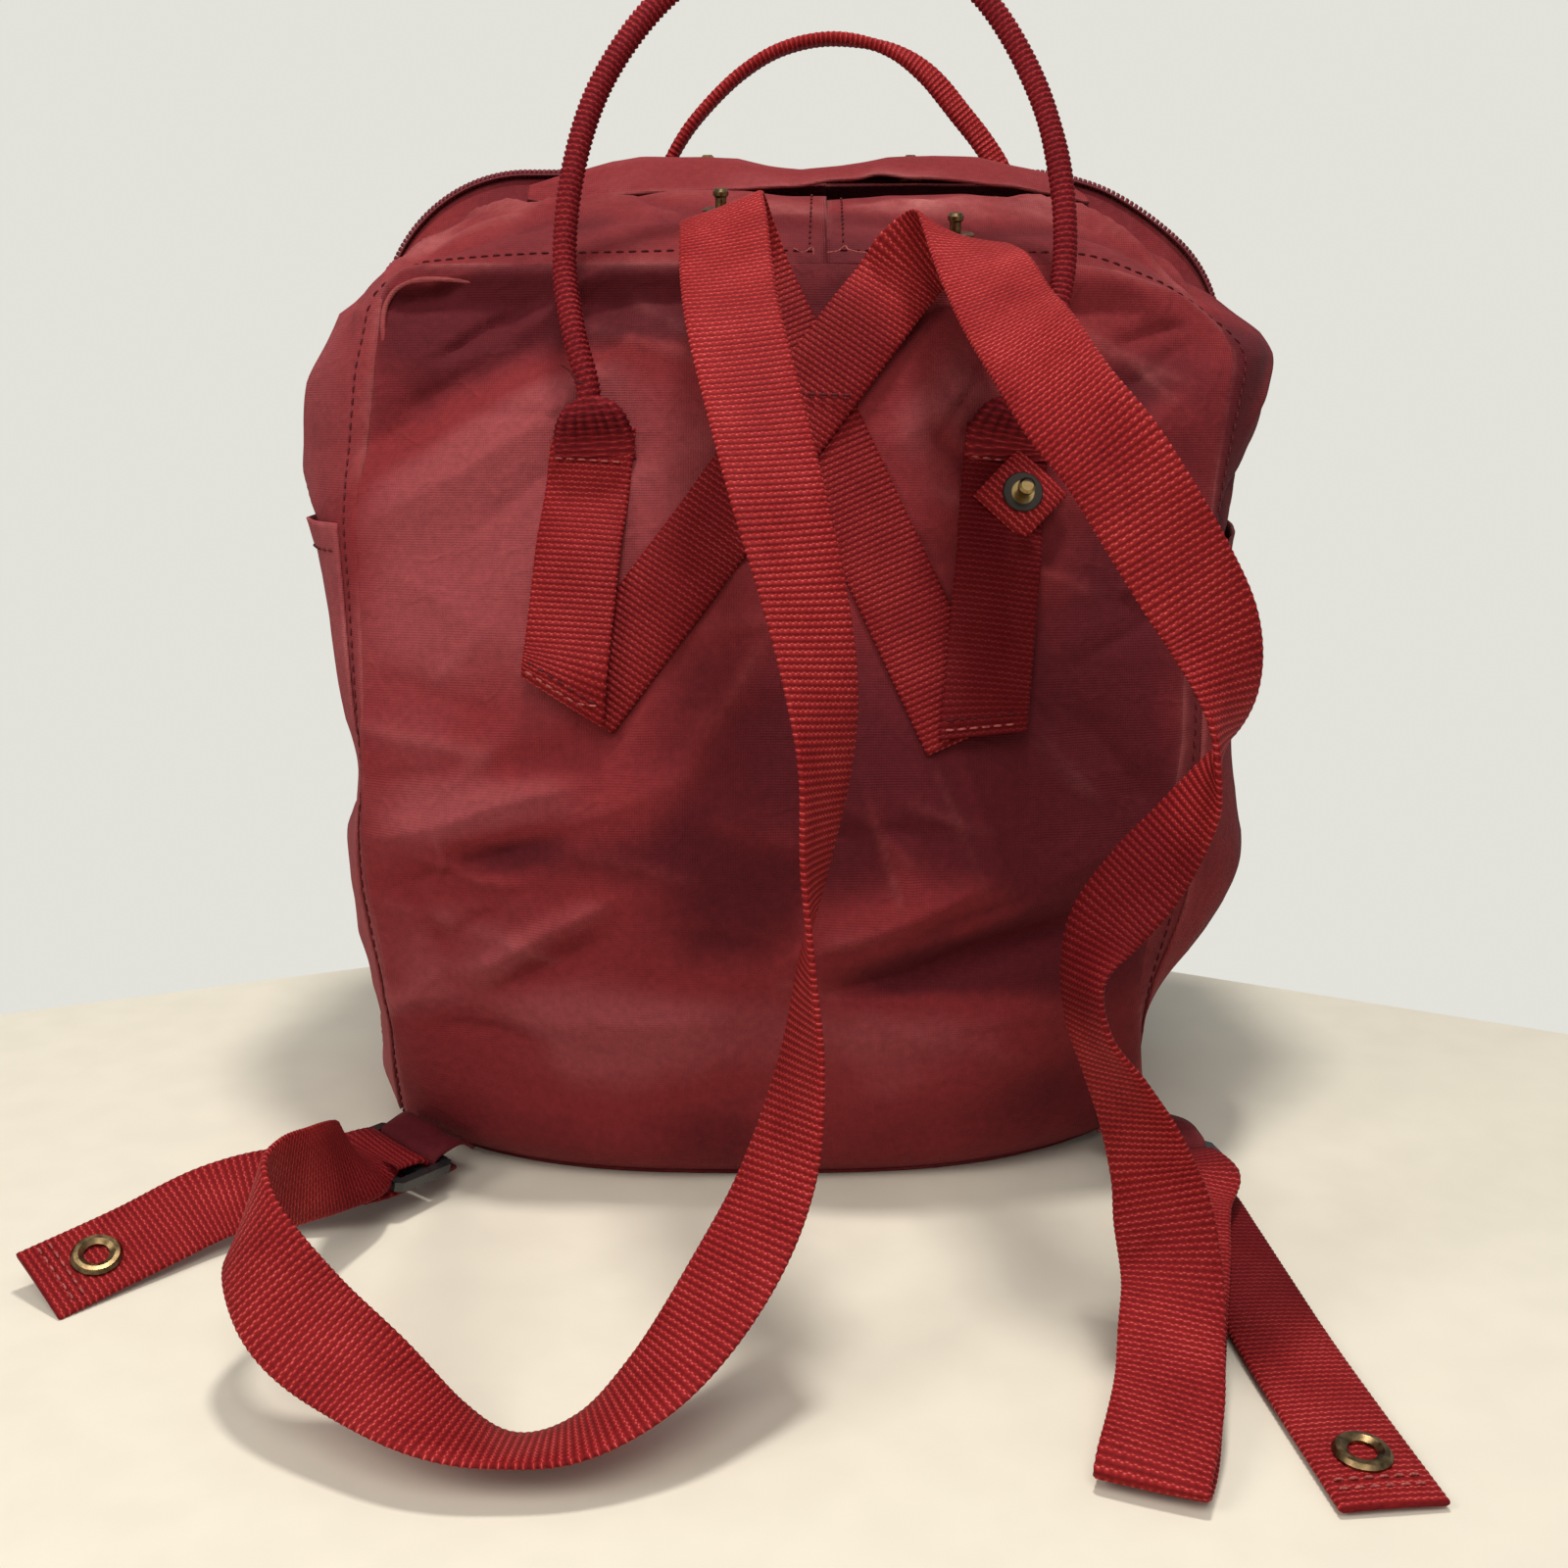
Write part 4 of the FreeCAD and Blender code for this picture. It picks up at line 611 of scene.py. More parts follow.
canvas = canvasMaterial("faded waxed canvas", canvasLook)
webbing = webMaterial("ribbed red webbing", webLook)
rolledLook = dict(webLook, red=(0.310, 0.018, 0.022), dark=(0.050, 0.003, 0.006), bright=(0.42, 0.05, 0.05))
rolled = webMaterial("rolled red webbing", rolledLook)
thread = plainMaterial("dark red thread", (0.085, 0.008, 0.010), 0.7, bumpScale=1500.0, shine=0.15)
brightThread = plainMaterial("worn pink thread", (0.34, 0.070, 0.062), 0.6, bumpScale=1500.0, vary=0.5,
                             shine=0.2)
coil = plainMaterial("dark red zip coil", (0.120, 0.010, 0.015), 0.5, bumpScale=500.0, shine=0.2)
tape = plainMaterial("zip tape", (0.13, 0.012, 0.018), 0.8, bumpScale=900.0)
brass = plainMaterial("antique brass", (0.190, 0.128, 0.062), 0.34, metal=1.0, bumpScale=420.0, vary=0.45)
buckleBlack = plainMaterial("black buckle plastic", (0.012, 0.012, 0.013), 0.28, bumpScale=200.0, coat=0.2)
lining = plainMaterial("inner cloth", (0.26, 0.045, 0.05), 0.85, bumpScale=700.0)
print("materials made")


# Tone of the canvas by place: above 0 paler and dusty, below 0 deep wine. It is partly the cloth's own fading
# and partly painted light and shade.

backFadeAndShadePatches = [
    # x, z, half width, half height, tone
    # lighter patches: the cloth's fading, with painted light on the upper left and on the full bulge low on
    # the left
    (-82, 192, 52, 34, 0.75), (-100, 222, 30, 22, 0.45), (-70, 236, 30, 20, 0.45), (-20, 215, 40, 30, 0.35),
    (-92, 122, 38, 10, 0.55), (-66, 94, 26, 12, 0.35), (-40, 52, 42, 18, 0.55), (44, 54, 46, 14, 0.40),
    (34, 84, 30, 10, 0.35), (-105, 60, 20, 26, 0.25), (-60, 150, 36, 18, 0.20), (52, 236, 18, 26, 0.55),
    (92, 262, 26, 12, 0.40), (112, 40, 18, 30, 0.1), (-108, 84, 24, 30, 0.45), (-70, 60, 30, 26, 0.30),
    (-112, 160, 20, 40, 0.30),
    # darker patches: deep wine dye, with painted shade in the hollow under the top seam, painted shadows of
    # the straps down the middle and painted shade over the right half
    (-96, 262, 36, 16, -0.75), (-40, 268, 36, 12, -0.95), (-112, 236, 18, 16, -0.45), (8, 150, 46, 40, -0.50),
    (60, 110, 44, 26, -0.60), (-20, 104, 34, 24, -0.55), (110, 220, 26, 34, -0.70), (96, 150, 30, 40, -0.60),
    (60, 72, 34, 9, -0.80), (-70, 108, 40, 7, -0.40), (-4, 20, 90, 14, -0.40), (18, 262, 22, 22, -0.6),
    (86, 42, 40, 34, -0.60), (100, 90, 30, 36, -0.50), (66, 140, 40, 30, -0.30),
]


def backFadeAndShade(x, z):
    # The sum of the bell-shaped patches.
    total = np.zeros(np.broadcast(x, z).shape)
    for x0, z0, wide, high, tone in backFadeAndShadePatches:
        total = total + tone * np.exp(-((x - x0) / wide) ** 2 - ((z - z0) / high) ** 2)
    return total


def foldLightAndShade(x, z):
    # Painted light and shade of the folds: paler on their crests, darker in their hollows.
    return 0.36 * np.tanh(creases(x, z, backFolds) / 1.8)


def canvasPiece(name, grid, look, body, node, tone, wear, flip=False):
    # A sheet of the bag's canvas, whose tone and wear are painted by place.
    piece = sheetObject(name, grid, canvas, look["thick"], flip=flip, values=dict(tone=tone, wear=wear))
    dress(piece, body, "waxed_canvas", node)
    return piece


# Back panel.

backPanelLook = dict(rows=196, columns=214, arcRows=24, thick=1.0, seamSink=1.4, seamWear=0.7,
                     footWear=0.3, thinFoldWearAndHighlight=0.34, randomFoldWear=0.16)


def panelEdge(heights, side):
    # Half width of the panel at each height, with that side's corner rounded off as a quarter circle.
    top, radius = bag["height"], bag["corner"] if side > 0 else bag["tightCorner"]
    over = np.clip(heights - (top - radius), 0, radius)
    plain = np.where(heights > top - radius, backHalf(top), backHalf(heights))
    return plain - radius + np.sqrt(radius ** 2 - over ** 2)


def makeBackPanel(look):
    # A grid between the two side seams; its top rows are spaced as on a circle, for the round corners.
    top, radius = bag["height"], bag["corner"]
    low = np.linspace(bag["foot"], top - radius, look["rows"])
    turn = np.radians(90.0 * np.arange(1, look["arcRows"] + 1) / look["arcRows"])
    heights = np.concatenate([low, top - radius + radius * np.sin(turn)])
    fade = 1 - ease(top - radius, top, heights)
    left = middleX(heights) - panelEdge(heights, -1) + smoothTable(heights, seamDrift[-1]) * fade
    right = middleX(heights) + panelEdge(heights, 1) + smoothTable(heights, seamDrift[1]) * fade
    part = np.linspace(0, 1, look["columns"])
    part = part - 0.03 * np.sin(2 * np.pi * part)
    x = left[:, None] * (1 - part) + right[:, None] * part
    z = np.broadcast_to(heights[:, None], x.shape)
    y = backY(x, z)
    toSide = np.minimum(x - left[:, None], right[:, None] - x)
    toSeam = np.minimum(np.maximum(toSide, 0), top - z)
    y = y + look["seamSink"] * np.exp(-toSeam / 2.2)
    tone = backFadeAndShade(x, z) + foldLightAndShade(x, z)
    wear = look["seamWear"] * np.exp(-toSeam) + look["footWear"] * np.exp(-z / 3.0)
    # pale crests of the thin creases: rubbed wear and painted highlight
    wear = wear + look["thinFoldWearAndHighlight"] * np.clip(creases(x, z, thinFolds), 0, 1)
    wear = wear + look["randomFoldWear"] * np.clip(creases(x, z, randomFolds), 0, 1) ** 2
    grid = slumped(np.stack([x, y, z], -1))
    canvasPiece("backPanelCloth", grid, look, "bag", "back_panel", tone, wear)


makeBackPanel(backPanelLook)


def makeCornerWelt():
    # The turned edge of the seam stands up round the top left corner: a thin uneven tube on the panel,
    # rubbed pale along its top. Each spot is x, z and how deep the tube's middle sinks into the panel.
    spots = [(-124.8, 256, 1.2), (-125.2, 262, 0.2), (-124.6, 267.4, -0.3), (-121.6, 272.0, -0.5),
             (-116.5, 274.4, -0.4), (-110, 275.2, 0.0), (-102, 275.0, 0.5), (-95, 274.2, 1.2)]
    sides = 12
    path, run = smoothPath([(x, float(backY(x, z)) + sink, z) for x, z, sink in spots], 0.8)
    across, normal = pathFrame(path, [0.0, -1.0, 0.0])
    turn = around(sides)
    size = 0.85 + 0.2 * softNoise(run, run * 0, 6, 141)[:, None]
    grid = ringPoints(path, across, normal, size * np.cos(turn), 0.9 * size * np.sin(turn))
    wear = np.broadcast_to(0.7 * np.abs(np.sin(turn)), (len(run), sides))
    piece = makeObject("cornerWelt", grid, tubeFaces(len(run), sides), canvas,
                       values=dict(tone=np.full(wear.shape, 0.3), wear=wear))
    dress(piece, "bag", "waxed_canvas")


makeCornerWelt()


# Side and top gussets, and the side pockets over them.

# tone by side: painted light on the left gusset and painted shade on the right one
gussetLook = dict(sideRows=120, cornerRows=34, topRows=52, columns=58, thick=1.0,
                  tone={-1: 0.65, 1: -0.45}, seamWear={-1: 0.6, 1: 0.35}, crestHighlight=0.55, foldCrestHighlight=0.4)


def makeGusset(side, name, look):
    # sidePoint on a grid, with closer columns near both seams.
    place = np.concatenate([np.linspace(0, 1, look["sideRows"], endpoint=False),
                            np.linspace(1, 2, look["cornerRows"], endpoint=False),
                            np.linspace(2, 3, look["topRows"])])
    even = np.linspace(0, 1, look["columns"])
    along = 0.5 * even + 0.25 - 0.25 * np.cos(np.pi * even)
    p, a = np.meshgrid(place, along, indexing="ij")
    grid = sidePoint(side, p, a)
    folds = creases(arcLength(p), a * bag["gussetDepth"], sideFolds[side])
    # painted light on the left side, painted shade on the right, and painted shade over the top
    level = look["tone"][side] * (1 - ease(0.9, 1.8, p)) - 0.15 * ease(1.5, 2.3, p)
    dusty = 0.3 * np.exp(-((a - 0.35) / 0.16) ** 2)
    tone = level + 0.25 * softNoise(p * 100, a * 100, 40, 31 + side) + dusty
    # painted light and shade of the folds: paler crests, darker hollows
    tone = tone + 0.3 * np.tanh(folds / 1.4) - 0.12
    backSeam, zipSeam, topSeam = np.exp(-a * 110), np.exp(-(1 - a) * 80), np.exp(-(3 - p) * 110)
    wear = backSeam * look["seamWear"][side] + zipSeam * 0.3 + topSeam * 0.5
    # painted highlights, carried by the wear attribute, along the crest of the top and on its fold ridges
    crest = np.exp(-((a - 0.34 - 0.05 * softNoise(p * 90, 0 * p, 12, 39)) / 0.05) ** 2) * ease(1.5, 2.1, p)
    wear = wear + look["crestHighlight"] * crest * (0.5 + softNoise(p * 90, a * 30, 9, 38 + side))
    wear = wear + 0.2 * np.clip(rumples(p * 100, a * bag["gussetDepth"], 22, 35 + side), 0, 1)
    wear = wear + look["foldCrestHighlight"] * np.clip(folds, 0, 1) * ease(1.2, 1.8, p)
    canvasPiece(name, grid, look, "bag", "gusset" + sideEnd[side], tone, wear, flip=side < 0)


makeGusset(-1, "gussetClothLeft", gussetLook)
makeGusset(1, "gussetClothRight", gussetLook)

# low and high are the pocket's edges, as shares of the gusset's depth
# tone and wear by side: the left pocket paler as painted light, the right one darker as painted shade
sidePocketLook = dict(foot=12.0, hem=203.0, hemFold=8.5, rows=100, columns=44, base=1.1, gap=1.7, thick=1.0,
                      low=0.06, high=0.9, tone={-1: 1.1, 1: -0.35}, wear={-1: 0.3, 1: 0.0})


def pocketLift(side, z, along, look):
    # Sewn down at its edges and foot, full in the middle and drawn in again at its hem.
    edge = np.minimum(np.minimum(along - look["low"], look["high"] - along) * 8, 1.0)
    uneven = 1 + 0.5 * softNoise(z, along * bag["gussetDepth"], 36, 51 + side)
    full = edge * (0.4 + 0.9 * ease(20, 120, z)) * uneven * (1 - 0.9 * ease(150, look["hem"], z))
    hemFoot = look["hem"] - look["hemFold"]
    hem = 0.5 * ease(hemFoot - 1.0, hemFoot, z)
    sewn = np.minimum(edge * 1.5, 1) * ease(look["foot"] - 2, look["foot"] + 12, z)
    return look["base"] + (look["gap"] + full + hem) * sewn


def gussetPlace(z):
    # The gusset's place that has that height, on its side.
    return (z - bag["foot"]) / (bag["zipHeight"] - bag["zipCorner"] - bag["foot"])


def makeSidePocket(side, name, look):
    # sidePoint again, lifted off the gusset.
    height = np.linspace(look["foot"], look["hem"], look["rows"])
    along = np.linspace(look["low"], look["high"], look["columns"])
    z, a = np.meshgrid(height, along, indexing="ij")
    grid = sidePoint(side, gussetPlace(z), a, pocketLift(side, z, a, look))
    # painted light on the left pocket and painted shade on the right, by side
    tone = 0.25 * softNoise(z, a * bag["gussetDepth"], 40, 61) + look["tone"][side]
    wear = np.exp(-(look["hem"] - z) / 1.3) * 0.8 + np.exp(-(a - look["low"]) * 110) * 0.4
    wear = wear + look["wear"][side]
    canvasPiece(name, grid, look, "bag", "side_pocket" + sideEnd[side], tone, wear, flip=side < 0)


makeSidePocket(-1, "sidePocketClothLeft", sidePocketLook)
makeSidePocket(1, "sidePocketClothRight", sidePocketLook)
print("back, gussets and side pockets made")


# Base, pad and sleeve.

baseLook = dict(rows=30, columns=60, inset=0.6, frontInset=1.0, backInset=10.0, height=1.0, thick=0.9)


def makeBase(look):
    # A flat grid whose edge follows the feet of the gussets and of the back panel.
    t = np.linspace(0, 1, look["rows"])
    left, right = (sidePoint(side, 0 * t, t)[:, 0] - side * look["inset"] for side in (-1, 1))
    frontHalfWidth = bag["zipFootHalf"] - look["frontInset"]
    left = np.append(left, middleX(0.0) - frontHalfWidth)
    right = np.append(right, middleX(0.0) + frontHalfWidth)
    part = np.linspace(0, 1, look["columns"])
    x = left[:, None] * (1 - part) + right[:, None] * part
    backEdge = plainBackY(x[0], 0.0) + look["backInset"]
    frontEdge = zipY(0.0) + bag["bandDepth"] - look["frontInset"]
    run = np.append(t * (zipY(0.0) - bag["zipGap"] - backEdge.max()), frontEdge - backEdge.max())[:, None]
    run = run / run[-1]
    grid = np.stack([x, backEdge * (1 - run) + frontEdge * run, np.full(x.shape, look["height"])], -1)
    canvasPiece("baseCloth", grid, look, "bag", "base_panel", np.full(x.shape, -0.2), np.full(x.shape, 0.2))


padLook = dict(rows=120, columns=90, half=93.0, foot=7.0, top=224.0, full=5.4, behind=6.4, seamIn=9.0,
               seamDeep=1.1, thick=0.8)


def makePad(look):
    # The sleeve is drawn tight over the foam: a crown that falls off at the rim, with a stitched groove.
    v, u = np.meshgrid(np.linspace(-1, 1, look["rows"]), np.linspace(-1, 1, look["columns"]), indexing="ij")
    high = (look["top"] - look["foot"]) / 2
    z = look["foot"] + high + high * v
    x = middleX(z) + look["half"] * u
    rim = np.minimum((1 - np.abs(u)) * look["half"], (1 - np.abs(v)) * high)
    swell = look["full"] * (1 - np.exp(-rim / 4.0)) + 0.4 * softNoise(x, z, 26, 71)
    groove = look["seamDeep"] * np.exp(-((rim - look["seamIn"]) / 1.2) ** 2)
    grid = np.stack([x, plainBackY(x, z) + look["behind"] + swell - groove, z], -1)
    piece = sheetObject("padSleeveCloth", grid, lining, look["thick"], flip=True)
    dress(piece, "bag", "lining", "pad_sleeve", "foam_back_pad")


makeBase(baseLook)
makePad(padLook)


# Main zip: two rows of coil on their tapes, along the arch.

zipLook = dict(foot=8.0, pitch=1.7, clear=0.35, width=2.9, height=3.3, tapeOut=2.2, tapeThick=0.5)


def archPlaces(side, corner, top):
    # Places along half an arch, with that many on each stretch.
    return np.concatenate([np.linspace(0, 1, side), np.linspace(1, 2, corner)[1:],
                           np.linspace(2, 3, top)[1:]])


def zipPath(foot):
    # The whole arch from the left foot to the right, with its outward direction.
    x, z, nx, nz = arch(archPlaces(120, 50, 60), foot, bag["zipHeight"], bag["zipCorner"], zipHalf)
    left = np.stack([middleX(z) - x, zipY(z), z, -nx, 0 * nx, nz], -1)
    right = np.stack([middleX(z) + x, zipY(z), z, nx, 0 * nx, nz], -1)[::-1][1:]
    return np.concatenate([left, right])


def makeZipHalf(name, sign, node, body, look):
    # Teeth at even steps along the arch; sign is the side of the zip's middle plane.
    path, _ = smoothPath(zipPath(look["foot"]), look["pitch"])
    centre, out = slumped(path[:, :3]), unit(path[:, 3:6])
    ahead = unit(np.gradient(centre, axis=0))
    lean = unit(np.cross(out, ahead))
    lean = lean * np.sign(lean[:, 1:2])
    centre = centre - out * 0.3
    # each tooth is three rings of eight points, a rounded loop of the coil that is widest in its middle
    profile = np.array([(0.12, 0.0), (0.3, 0.42), (0.62, 0.5), (0.95, 0.34), (1.0, 0.0), (0.95, -0.34),
                        (0.62, -0.5), (0.3, -0.42)])
    thick = look["pitch"] * 0.43
    rings = np.array([(-thick, 0.86), (0.0, 1.0), (thick, 0.86)])
    across, up = profile[None, :, 0], profile[None, :, 1]
    shift, grow = rings[:, None, 0], rings[:, None, 1]
    sideways = sign * (look["clear"] + look["width"] * (0.5 + (across - 0.5) * grow))
    upwards = look["height"] * up * grow
    forwards = shift + 0.35 * sign * across
    each = (slice(None), None, None)
    points = (centre[each] + lean[each] * sideways[None, ..., None] + out[each] * upwards[None, ..., None]
              + ahead[each] * forwards[None, ..., None])
    faces = repeated(tubeFaces(3, 8, flip=sign > 0), len(centre), 3 * 8)
    piece = makeObject(name, points, faces, coil)
    dress(piece, body, "zip_coil", node)
    # woven tape under the coil
    low, high = look["clear"] * sign, (look["clear"] + look["width"] + look["tapeOut"]) * sign
    grid = np.stack([centre + lean * off - out * 0.9 for off in np.linspace(low, high, 4)], 1)
    band = sheetObject(name + "Tape", grid, tape, look["tapeThick"], flip=sign < 0)
    dress(band, body, "zip_coil")


makeZipHalf("zipCoilBody", -1, "main_zip_body_half", "bag", zipLook)
makeZipHalf("zipCoilFlap", 1, "main_zip_flap_half", "front", zipLook)
print("zip made")


# Rain flap: a lip of cloth over the straight top run of the zip, its free edge wavy and a little open.

rainLook = dict(left=-90.0, right=107.0, root=76.6, columns=150, rows=30, thick=1.0)
# Along the lip: height of its top, and height of its free edge, over places across the bag.
rainTop = ([-92, -84, -74, -60, -50, -28, -16, -6, 6, 20, 36, 52, 68, 80, 92, 100, 108],
           [312.6, 314.8, 317.6, 321.0, 322.3, 322.4, 321.8, 319.4, 317.6, 319.0, 322.0, 322.6, 322.2, 319.6,
            317.6, 315.4, 312.6])
rainEdge = ([-92, -80, -62, -45, -20, 5, 30, 45, 62, 80, 95, 108],
            [308.5, 306.2, 306.6, 308.0, 308.4, 309.8, 313.4, 312.6, 311.2, 309.6, 308.6, 311.0])


# From root to free edge: place, distance forward of the base centre, share of the way down, and lift.
rainProfile = dict(place=[0.0, 0.1, 0.22, 0.4, 0.6, 0.8, 1.0],
                   depth=[76.6, 75.2, 72.0, 66.5, 60.5, 55.0, 50.0],
                   share=[0.0, 0.0, 0.0, 0.17, 0.42, 0.72, 1.0],
                   lift=[-1.6, -0.3, 0.0, 0.0, 0.0, 0.0, 0.0])


def makeRainFlap(look):
    # The profile carried along the lip, between the line of its top and the line of its free edge.
    x = np.linspace(look["left"], look["right"], look["columns"])
    part = np.linspace(0, 1, look["rows"])[:, None]
    top = np.interp(x, *rainTop) + 0.5 * softNoise(x, x * 0, 11, 81)
    edge = np.interp(x, *rainEdge) + 0.6 * softNoise(x, x * 0, 9, 82)
    depth, share, lift = (np.interp(part, rainProfile["place"], rainProfile[key])
                          for key in ("depth", "share", "lift"))
    full = ease(look["left"] - 4, look["left"] + 44, x) * ease(look["right"] + 4, look["right"] - 34, x)
    depth = look["root"] + (depth - look["root"]) * (0.2 + 0.8 * full)
    z = top * (1 - share) + edge * share + lift
    depth = depth + 1.2 * softNoise(x, x * 0, 24, 83) * part
    grid = slumped(np.stack([np.broadcast_to(x, z.shape), depth, z], -1))
    tone = 0.30 + 0.25 * softNoise(grid[..., 0], part * 60, 26, 84)
    tone = tone - 0.3 * np.exp(-((part - 0.5) / 0.2) ** 2)
    wear = np.exp(-(1 - part) * 26) * 0.7 + 0 * x
    piece = sheetObject("rainFlapCloth", grid, canvas, look["thick"], flip=True,
                        values=dict(tone=tone, wear=wear))
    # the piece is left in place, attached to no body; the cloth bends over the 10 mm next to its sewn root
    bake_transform(piece)
    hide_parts("rain_flap")


makeRainFlap(rainLook)


# Front leaf: band, panel and pocket.

bandLook = dict(columns=10, puff=0.9, uneven=0.5, thick=1.0)


def makeBand(look):
    # Straight lines from the zip's arch to the front panel's, puffed out by half a wave.
    places = archPlaces(110, 34, 50)
    foot, top, corner = zipLook["foot"], bag["zipHeight"], bag["zipCorner"]
    zipArch = arch(places, foot, top, corner, zipHalf)
    frontArch = arch(places, foot, top - bag["bandDraw"], corner, frontHalf)
    zx, zz, znx, znz = (v[:, None] for v in zipArch)
    fx, fz = (v[:, None] for v in frontArch[:2])
    part = np.linspace(0, 1, look["columns"])
    halves = []
    for side in (-1, 1):
        x = (middleX(zz) + side * zx) * (1 - part) + (middleX(fz) + side * fx) * part
        y = (zipY(zz) + bag["zipGap"]) * (1 - part) + (zipY(fz) + bag["bandDepth"]) * part
        uneven = softNoise(places[:, None] * 90, part * 12, 14, 91 + side)
        puff = look["puff"] * np.sin(np.pi * part) + look["uneven"] * uneven
        halves.append(np.stack([x + side * znx * puff, y, zz * (1 - part) + fz * part + znz * puff], -1))
    grid = slumped(np.concatenate([halves[0], halves[1][::-1][1:]]))
    wear = np.broadcast_to(np.exp(-(1 - part) * 20) * 0.6, grid.shape[:2])
    tone = 0.1 + 0.2 * softNoise(grid[..., 0], grid[..., 2], 40, 95)
    canvasPiece("flapBandCloth", grid, look, "front", "flap_band", tone, wear, flip=True)


frontPanelLook = dict(foot=1.9, rows=110, arcRows=24, columns=130, seamSink=1.2, thick=1.0)


def makeFrontPanel(look):
    # frontY on a grid between the arch's sides; its top rows follow the round corners.
    top, radius = bag["zipHeight"] - bag["bandDraw"], bag["zipCorner"]
    heights = np.linspace(look["foot"], top - radius, look["rows"])
    halves = frontHalf(heights)
    turn = np.radians(90.0 * np.arange(1, look["arcRows"] + 1) / look["arcRows"])
    heights = np.concatenate([heights, top - radius + radius * np.sin(turn)])
    halves = np.concatenate([halves, frontHalf(top) - radius + radius * np.cos(turn)])
    part = np.linspace(-1, 1, look["columns"])
    x = middleX(heights)[:, None] + halves[:, None] * part
    z = np.broadcast_to(heights[:, None], x.shape)
    toEdge = np.minimum((1 - np.abs(part)) * halves[:, None], top - z)
    y = frontY(x, z) + look["thick"] - look["seamSink"] * np.exp(-toEdge / 2.2)
    tone = 0.35 * softNoise(x, z, 60, 101) + 0.1
    wear = np.exp(-toEdge / 1.2) * 0.6
    grid = slumped(np.stack([x, y, z], -1))
    canvasPiece("frontPanelCloth", grid, look, "front", "front_panel", tone, wear, flip=True)


pocketLook = dict(top=178.0, foot=26.0, half=88.0, depth=16.0, rows=96, columns=110, thick=1.0)


def pocketGap(x, z, look):
    # How far the pocket stands off the panel: full in the middle of its mouth, none at its sides and foot.
    across = (x - middleX(z)) / look["half"]
    rise = ease(look["foot"], look["foot"] + 90.0, z)
    return look["depth"] * np.maximum(0.0, 1.0 - across ** 4) * rise


def makeFrontPocket(look):
    # The front panel's form again, with the pocket's gap, a folded hem and soft folds of its own.
    part = np.linspace(-1, 1, look["columns"])
    heights = np.linspace(look["foot"], look["top"], look["rows"])
    z = np.broadcast_to(heights[:, None], (look["rows"], look["columns"]))
    x = middleX(z) + look["half"] * part
    hem = 0.8 * ease(look["top"] - 13, look["top"] - 12, z)
    soft = 0.9 * softNoise(x, z, 30, 111) * (1 - np.abs(part) ** 3)
    y = frontY(x, z) + 2.4 + pocketGap(x, z, look) + hem + soft * ease(look["foot"], look["foot"] + 30, z)
    toEdge = np.minimum((1 - np.abs(part)) * look["half"], z - look["foot"])
    wear = np.exp(-(look["top"] - z) / 1.2) * 0.7 + np.exp(-toEdge / 1.1) * 0.4
    tone = 0.3 * softNoise(x, z, 50, 112) + 0.15
    grid = np.stack([x, y, z], -1)
    canvasPiece("frontPocketCloth", grid, look, "front", "front_pocket", tone, wear, flip=True)


makeBand(bandLook)
makeFrontPanel(frontPanelLook)
makeFrontPocket(pocketLook)
print("front made")


# Webbing: a ribbon along a smooth path, ribbed and a little scalloped at its edges.

# fade darkens the first stretch of a ribbon, up to fadeEnd along its run; on the right root strip it is a
# painted shadow of the strap above. shade (low, high, amount) is painted shade on its free part between two
# heights, and the buckle flag adds a painted shadow of the loop near its buckle.
ribbonLook = dict(width=25.0, thick=1.6, rib=1.8, corner=0.75, cup=0.35, skew=0.0, fade=0.0, fadeEnd=0.0,
                  shade=None, sewnRun=170.0, buckleShadow=False)


